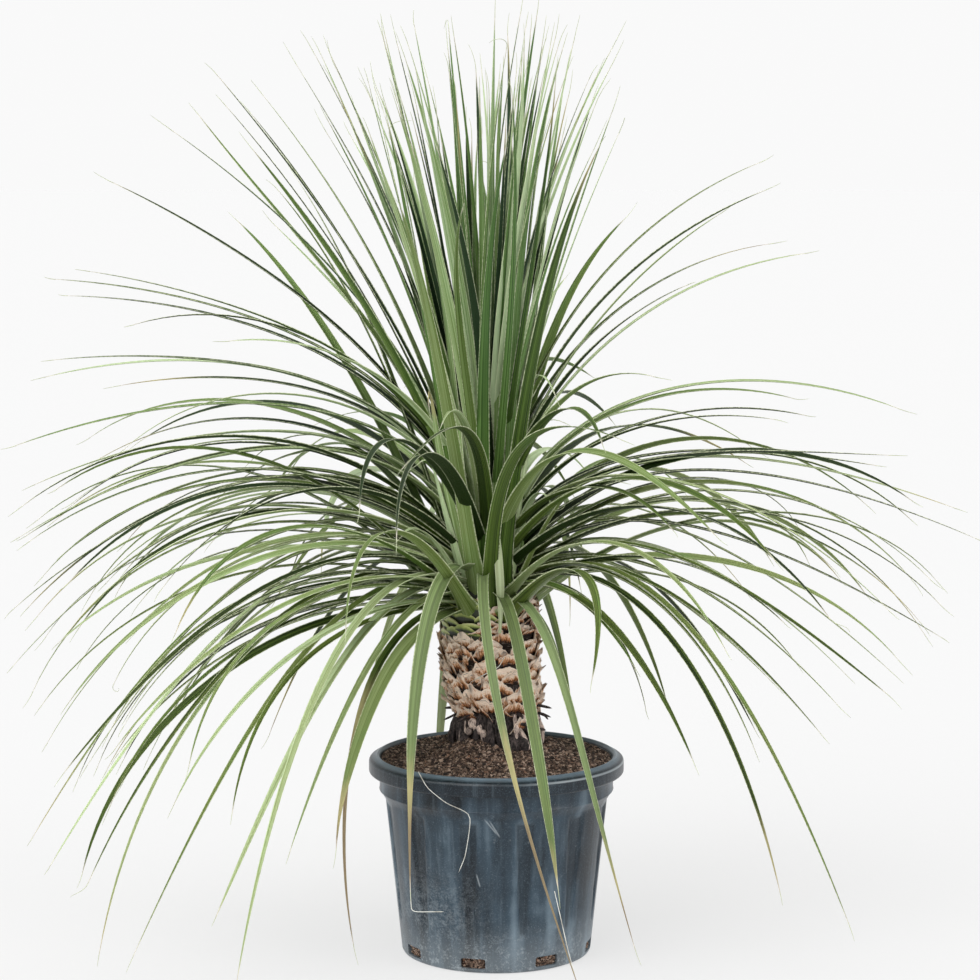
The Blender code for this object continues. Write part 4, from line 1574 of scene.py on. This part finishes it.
        looped = (
            (-128, 72, -100, 0.122, 0.727, -0.5, 0.95, 0.5, 0.0, 0.66),
            (-52, 86, -60, 0.145, 0.742, 0.0, 0.85, 0.3, 0.1, 0.78),
            (-42, 80, -22, 0.140, 0.712, 0.0, 0.75, 0.4, 0.25, 0.80),
            (-52, 80, -58, 0.132, 0.603, 0.0, 0.95, 0.4, 0.15, 0.74),
            (-30, 68, -16, 0.200, 0.640, 0.0, 0.70, 0.9, 0.0, 0.60),
            (-134, 64, -40, 0.135, 0.660, -0.3, 0.72, 0.5, 0.0, 0.84),
            (-140, 58, -50, 0.150, 0.568, -0.2, 0.90, 0.4, 0.20, 0.75),
        )
        behind = (
            (38, 34, -58, 0.50, 0.22), (58, 36, -62, 0.50, 0.24), (74, 30, -60, 0.47, 0.20),
            (88, 34, -66, 0.47, 0.17), (97, 40, -55, 0.53, 0.28), (112, 32, -60, 0.50, 0.22),
            (131, 34, -60, 0.50, 0.20), (148, 36, -56, 0.54, 0.25),
        )
        leaves = [Leaf(*row) for row in upper_left + left + lower_left + upper_right + right + lower_right]
        for *line, width, age, pale, tone in looped:
            leaves.append(Leaf(*line, width=width, age=age, pale=pale, tone=tone, root=self.looped_root))
        return leaves + [Leaf(*row) for row in behind]

    @staticmethod
    def turns(rng: random.Random, *most: float) -> dict[str, float]:
        """Draw a leaf's swing, roll and twist, each up to its most to either side."""
        return {name: rng.uniform(-limit, limit) for name, limit in zip(("swing", "roll", "twist"), most)}

    def upright_leaves(self, rng: random.Random) -> list[Leaf]:
        """Lay out the tight bunch in the middle, one leaf every golden angle.

        Args:
            rng: The draws.

        Returns:
            The leaves.
        """
        leaves = []
        for k in range(self.upright):
            age = (k + 0.5) / self.upright
            rise = 89.5 - 15 * age + rng.uniform(-1.5, 1.5)
            bend = 2 + 19 * age ** 1.3 + rng.uniform(-2, 5)
            bearing = k * GOLDEN_ANGLE + rng.uniform(-8, 8)
            length = self.upright_length * rng.uniform(0.78, 1.03)
            leaves.append(self.arc_leaf(bearing, rise, rise - bend, length, **self.turns(rng, 22, 15, 40)))
        return leaves

    def arching_leaves(self, rng: random.Random) -> list[Leaf]:
        """Lay out the older leaves all round, which bend lower the older they are, open at the front below.

        Args:
            rng: The draws.

        Returns:
            The leaves.
        """
        leaves = []
        for k in range(self.arching):
            age = (k + 0.5) / self.arching
            bearing = (k + self.upright) * GOLDEN_ANGLE
            bearing += 14 * sin(radians(2 * bearing)) + rng.uniform(-8, 8)
            if age > 0.5 and cos(radians(bearing + 90)) > 0.6:
                bearing += 180
            rise = 74 - 36 * age + rng.uniform(-4, 4)
            fall = -6 - 64 * age ** 0.65 + rng.uniform(-10, 10)
            length = self.arching_length * rng.uniform(0.84, 1.02)
            leaves.append(self.arc_leaf(bearing, rise, fall, length, **self.turns(rng, 14, 14, 40)))
        return leaves

    def spread(
        self,
        rng: random.Random,
        count: int,
        first: float,
        rise: Row,
        fall: tuple[float, float, float],
        length: Row,
        width: Row,
        twist: float = 40,
    ) -> list[Leaf]:
        """Lay out leaves one golden angle apart, from young and steep to old and low.

        Args:
            rng: The draws.
            count: How many.
            first: The first bearing.
            rise: The rise of the youngest and of the oldest.
            fall: The same for the fall, and the power by which it runs from one to the other.
            length: The shortest and the longest.
            width: The slimmest and the widest, as shares.
            twist: The most that one twists.

        Returns:
            The leaves.
        """
        leaves = []
        for k in range(count):
            age = (k + 0.5) / count
            turns = self.turns(rng, 16, 14, twist)
            steep = blend(*rise, age) + rng.uniform(-3, 3)
            down = min(blend(*fall[:2], age ** fall[2]) + rng.uniform(-11, 11), steep - 2)
            bearing = k * GOLDEN_ANGLE + first + rng.uniform(-10, 10)
            size = rng.uniform(*length)
            leaves.append(self.arc_leaf(bearing, steep, down, size, width=rng.uniform(*width), **turns))
        return leaves

    def extra_leaves(self, rng: random.Random) -> dict[str, list[Leaf]]:
        """Lay out the leaves between the others, open at the front below.

        Args:
            rng: The draws.

        Returns:
            The leaves of each group, by its name.
        """
        slim = self.spread(rng, self.slim, 20, (89.5, 76), (86, 50, 1.1), (0.57, 0.72), (0.42, 0.68), 70)
        filling = self.spread(rng, self.filling, 60, (84, 38), (64, -60, 0.6), (0.54, 0.68), (0.65, 1.0))
        combed = self.spread(rng, self.combed, 0, (66, 36), (-20, -62, 1.0), (0.60, 0.70), (0.5, 0.85))
        left = self.spread(rng, self.hanging_left, 0, (40, 4), (-50, -70, 1.0), (0.50, 0.68), (0.60, 1.05))
        right = self.spread(rng, self.hanging_right, 0, (40, 16), (-36, -54, 1.0), (0.42, 0.58), (0.75, 1.05))
        cloak = self.spread(rng, self.cloak, -65, (86, 50), (74, -46, 1.3), (0.58, 0.70), (0.85, 1.1), 25)
        for k, leaf in enumerate(combed):
            leaf.bearing = (0 if k % 5 == 1 else 180) + 76 * (k * GOLDEN_SHARE % 1.0 - 0.5)
        for middle, half, side in ((198, 32, left), (-6, 30, right)):
            for k, leaf in enumerate(side):
                leaf.bearing = middle + 2 * half * (k * GOLDEN_SHARE % 1.0 - 0.5)
        for k, leaf in enumerate(filling):
            if k > 0.45 * self.filling and leaf.facing(-90) > 0.5:
                leaf.bearing += 180
        for k, leaf in enumerate(cloak):
            age = (k + 0.5) / self.cloak
            leaf.root = (0.038 + 0.021 * age, 0.512 - 0.066 * age)
        groups = {"slim_leaves": slim, "inner_leaves": filling, "side_leaves": combed}
        return groups | {"hanging_leaves": left[:-2] + right[::2], "cloak_leaves": cloak}

    def blade_blank(self) -> Blank:
        """Model one flat straight blade, closed all round, with x across, y along and z up.

        Returns:
            The blank.
        """
        blade = flat_sheet("blade", self.blade_columns, self.segments)
        blade.scale = (self.width, self.blank_length, 1.0)
        settle(blade)
        modify(blade, "SOLIDIFY", thickness=self.thickness, offset=0.0)
        smooth_shade(blade, 40.0)
        return Blank(blade)

    def line(self, leaf: Leaf, shares: np.ndarray) -> tuple[np.ndarray, np.ndarray]:
        """Work out a leaf's middle line.

        Args:
            leaf: The leaf.
            shares: Shares of its length.

        Returns:
            The points at those shares, and their bearings in radians.
        """
        start, low = leaf.root or self.root_of(leaf.rise)
        rise, fall = radians(leaf.rise), radians(leaf.fall)
        chord = hypot(leaf.reach - start, leaf.height - low)
        bend = max(abs(rise - fall), 0.02)
        handle = 4 / 3 * tan(bend / 4) * chord / (2 * sin(bend / 2))
        first, last = handle * (1 - leaf.hang), handle * (1 + leaf.hang)
        corners = np.array([
            (start, low),
            (start + first * cos(rise), low + first * sin(rise)),
            (leaf.reach - last * cos(fall), leaf.height - last * sin(fall)),
            (leaf.reach, leaf.height),
        ])
        t = np.linspace(0.0, 1.0, self.line_steps + 1)[:, None]
        weights = ((1 - t) ** 3, 3 * (1 - t) ** 2 * t, 3 * (1 - t) * t * t, t ** 3)
        curve = sum(weight * corner for weight, corner in zip(weights, corners))
        run = np.concatenate([[0.0], np.cumsum(np.hypot(*np.diff(curve, axis=0).T))])
        out, up = (np.interp(shares * run[-1], run, curve[:, k]) for k in range(2))
        bearings = np.radians(leaf.bearing + leaf.swing * shares ** 1.5)
        return np.stack([out * np.cos(bearings), out * np.sin(bearings), up], axis=1), bearings

    def bend(self, leaf: Leaf, rng: random.Random) -> list[Piece]:
        """Bend a copy of the blade along a leaf's line, with a dry thread at its tip.

        Args:
            leaf: The leaf.
            rng: The draws for its small irregularities.

        Returns:
            The leaf and its thread in their places.
        """
        shares = np.linspace(0.0, 1.0, self.segments + 1)
        line, bearings = self.line(leaf, self.blade_share * shares)
        across = np.stack([-np.sin(bearings), np.cos(bearings), 0 * bearings], axis=1)
        heading = np.gradient(line, axis=0)
        heading /= np.linalg.norm(heading, axis=1)[:, None]
        above = np.cross(heading, across)
        phase, waves = rng.uniform(0, 6.3), rng.uniform(0.4, 1.0)
        loose = 0.0 if leaf.blunt else 1.0
        sway = loose * rng.uniform(0.0, 0.004) * shares ** 1.3 * np.sin(waves * 2 * pi * shares + phase)
        dip = loose * rng.uniform(0.0, 0.003) * shares ** 1.3 * np.sin(1.4 * waves * 2 * pi * shares - phase)
        line = line + across * sway[:, None] + above * dip[:, None]
        turn = np.radians(leaf.roll + leaf.twist * shares + loose * rng.uniform(-35, 35) * shares ** 3)
        side = across * np.cos(turn)[:, None] + above * np.sin(turn)[:, None]
        face = np.cross(heading, side)
        if leaf.blunt:
            width = self.width * leaf.width * (0.35 + 0.65 * smooth(shares, 0.0, 0.5))
        else:
            width = self.width * leaf.width * (1 + (1.2 if leaf.root else 0.7) * np.exp(-shares / 0.05))
            width = width * (1 - 0.42 * smooth(shares, leaf.dry - 0.12, leaf.dry + 0.10))
            width = width * np.maximum(1 - shares ** leaf.taper, 0.0) ** 0.9 + self.tip_width
        channel = 0.17 + 0.22 * np.exp(-shares / 0.10)
        x, y, z = self.blade.points.T
        row = np.clip(np.rint(y / self.blank_length * self.segments).astype(int), 0, self.segments)
        off = x / self.width
        lift = channel[row] * width[row] * 4 * off ** 2 + z * (1 - 0.5 * shares[row])
        points = line[row] - side[row] * (off * width[row])[:, None] + face[row] * lift[:, None]
        points[:, 0] += self.middle_x
        tone = rng.random() if leaf.tone is None else leaf.tone
        parts = [self.blade.copy(points, tone=tone, age=leaf.age, dry=leaf.dry, pale=leaf.pale)]
        if not leaf.blunt:
            size = 1.5 if leaf.fall > self.steep_fall else 1.0
            parts.append(self.tip_thread(line[-1], heading[-1], size, rng))
        return parts

    def tip_thread(self, tip: np.ndarray, heading: np.ndarray, size: float, rng: random.Random) -> Piece:
        """Carry a leaf's tip on as a fine dry thread that wanders or curls.

        Args:
            tip: Where the leaf ends.
            heading: Where it points there.
            size: A factor on its length.
            rng: The draws.

        Returns:
            The thread in its place.
        """
        curly = rng.random() < self.curly
        steps = self.thread.segments
        length = size * rng.uniform(*(self.curled_length if curly else self.thread_length))
        spin = Vector([rng.uniform(-1, 1) for _ in range(3)]).normalized()
        bend = rng.uniform(*((0.20, 0.45) if curly else (0.0, 0.05)))
        spot, aim = Vector(tip) + Vector((self.middle_x, 0.0, 0.0)), Vector(heading)
        path = [spot - 0.004 * aim, spot]
        for _ in range(steps):
            aim = Matrix.Rotation(bend, 3, spin) @ aim
            spot = spot + aim * (length / steps)
            path.append(spot)
        radii = [blend(*self.thread_radii, k / (len(path) - 1)) for k in range(len(path))]
        return self.thread.along(path, radii, tone=0.5, age=0.0, dry=2.0, pale=0.75)

    def build_heart(self) -> None:
        """Build the slim growing tip that the innermost leaves hide."""
        rows = [(0.030, 0.4308), (0.056, 0.4308), (0.0565, 0.440), (0.056, 0.476), (0.043, 0.515)]
        rows += [(0.034, 0.56), (0.022, 0.66), (0.008, 0.79)]
        heart = turned("growing_tip", rows, columns=48)
        place(heart, points_of(heart) + np.array([self.middle_x, 0.0, 0.0]))
        smooth_shade(heart, 50.0)
        mark(heart, tone=0.1)
        hand_over(heart, LiveScales().material(), "leaf_green")

    def dress(self, leaf: Leaf, draw: random.Random) -> None:
        """Give a leaf its looks by its place: low leaves are the older ones.

        Args:
            leaf: The leaf, whose age, dry tip, width, tone and taper are set.
            draw: The draws.
        """
        low = float(smooth(0.80 - leaf.height, 0.0, 0.6))
        steep = leaf.rise > self.steep_rise and leaf.fall > self.steep_fall
        right = 0.2 if leaf.facing(0) > 0.5 else 0.0
        age = float(np.clip((0.10 if steep else 0.48 + right + 0.4 * low) + draw.uniform(-0.15, 0.25), 0, 1))
        leaf.dry = draw.uniform(1.03, 1.12) if draw.random() < 0.86 else draw.uniform(0.86, 0.97)
        if leaf.tone is None:
            leaf.age = age
            leaf.width *= draw.uniform(0.78, 1.08) * (1.0 - 0.08 * low)
            leaf.tone = draw.random() * (1.0 if steep else 0.85 - 0.10 * low) + 0.12 * low
            if leaf.root:
                leaf.tone = 0.28 + 0.55 * leaf.tone
            leaf.taper = 1.25 if steep else 1.6

    def fit(self, leaves: list[Leaf]) -> list[Leaf]:
        """Thin the low leaves on the right, where the plant is open, and keep all inside the front.

        Args:
            leaves: The leaves of a group.

        Returns:
            Those that stay.
        """
        low = [leaf for leaf in leaves if leaf.facing(0) > self.open_side and leaf.fall < self.low_fall]
        spare = [id(leaf) for leaf in low[::4]]
        for leaf in leaves:
            forward = -sin(radians(leaf.bearing + leaf.swing))
            if forward * leaf.reach > self.front_reach:
                leaf.reach = self.front_reach / forward
        return [leaf for leaf in leaves if id(leaf) not in spare]

    def build(self) -> None:
        """Build every leaf, group by group, each group as one piece, and the growing tip."""
        self.blade = self.blade_blank()
        self.thread = Strand(sides=4, segments=10)
        rng = random.Random(self.seed)
        groups = {"upright_leaves": self.upright_leaves(rng), "arching_leaves": self.arching_leaves(rng)}
        groups["outer_leaves"] = self.outstanding()
        groups |= self.extra_leaves(random.Random(self.seed + 1))
        draw = random.Random(self.seed + 2)
        for leaf in chain.from_iterable(groups.values()):
            self.dress(leaf, draw)
        for name in ("arching_leaves", "inner_leaves", "side_leaves", "hanging_leaves", "cloak_leaves"):
            groups[name] = self.fit(groups[name])
        groups["front_leaves"] = self.front_leaves()
        skin = LeafGreen().material()
        for name, leaves in groups.items():
            rng = random.Random(name)
            piece = join(name, [part for leaf in leaves for part in self.bend(leaf, rng)])
            nodes = ["leaves"] if name == "upright_leaves" else []
            hand_over(piece, skin, "leaf_green", *nodes)
        self.build_heart()


@dataclass
class Fibres:
    """The loose pale fibres that hang from the leaves, each as the points of its path."""

    radius: float = 0.00050
    paths: tuple[tuple[Spot, ...], ...] = (
        (
            (-0.1003, -0.141, 0.271), (-0.0894, -0.148, 0.252), (-0.0651, -0.157, 0.234),
            (-0.0440, -0.156, 0.2245), (-0.0365, -0.155, 0.2200), (-0.0335, -0.154, 0.2110),
            (-0.0359, -0.146, 0.188), (-0.0407, -0.1405, 0.159), (-0.0493, -0.135, 0.137),
        ),
        (
            (-0.1085, -0.234, 0.140), (-0.1075, -0.2345, 0.119), (-0.1065, -0.234, 0.1145),
            (-0.1015, -0.2335, 0.1122), (-0.0665, -0.230, 0.1115),
        ),
        ((0.0715, -0.276, 0.150), (0.0790, -0.280, 0.118), (0.0875, -0.282, 0.080), (0.0982, -0.284, 0.040)),
        ((0.010, -0.083, 0.410), (0.003, -0.084, 0.397), (-0.018, -0.082, 0.386), (-0.0345, -0.077, 0.3755)),
    )

    def build(self) -> None:
        """Build the fibres."""
        strand = Strand(sides=5, segments=28)
        parts = []
        for path in self.paths:
            corners = [Vector(spot) for spot in path]
            line = [corners[0]]
            for start, end in pairwise(corners):
                line += [start.lerp(end, k / 4) for k in (1, 2, 3, 4)]
            eased = [(a + 2 * b + c) / 4 for a, b, c in zip(line, line[1:], line[2:])]
            eased = [line[0], *eased, line[-1]]
            parts.append(strand.along(eased, [self.radius] * len(eased), tone=0.5))
        hand_over(join("loose_fibres", parts), Fibre().material(), "leaf_green")


def main() -> None:
    """Build the studio and the plant."""
    logging.basicConfig(level=logging.INFO, format="%(message)s")
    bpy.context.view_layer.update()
    Studio().build()
    pot = Pot()
    pot.build()
    Soil(pot).build()
    Stem().build()
    Crown().build()
    Fibres().build()


if __name__ == "__main__":
    main()
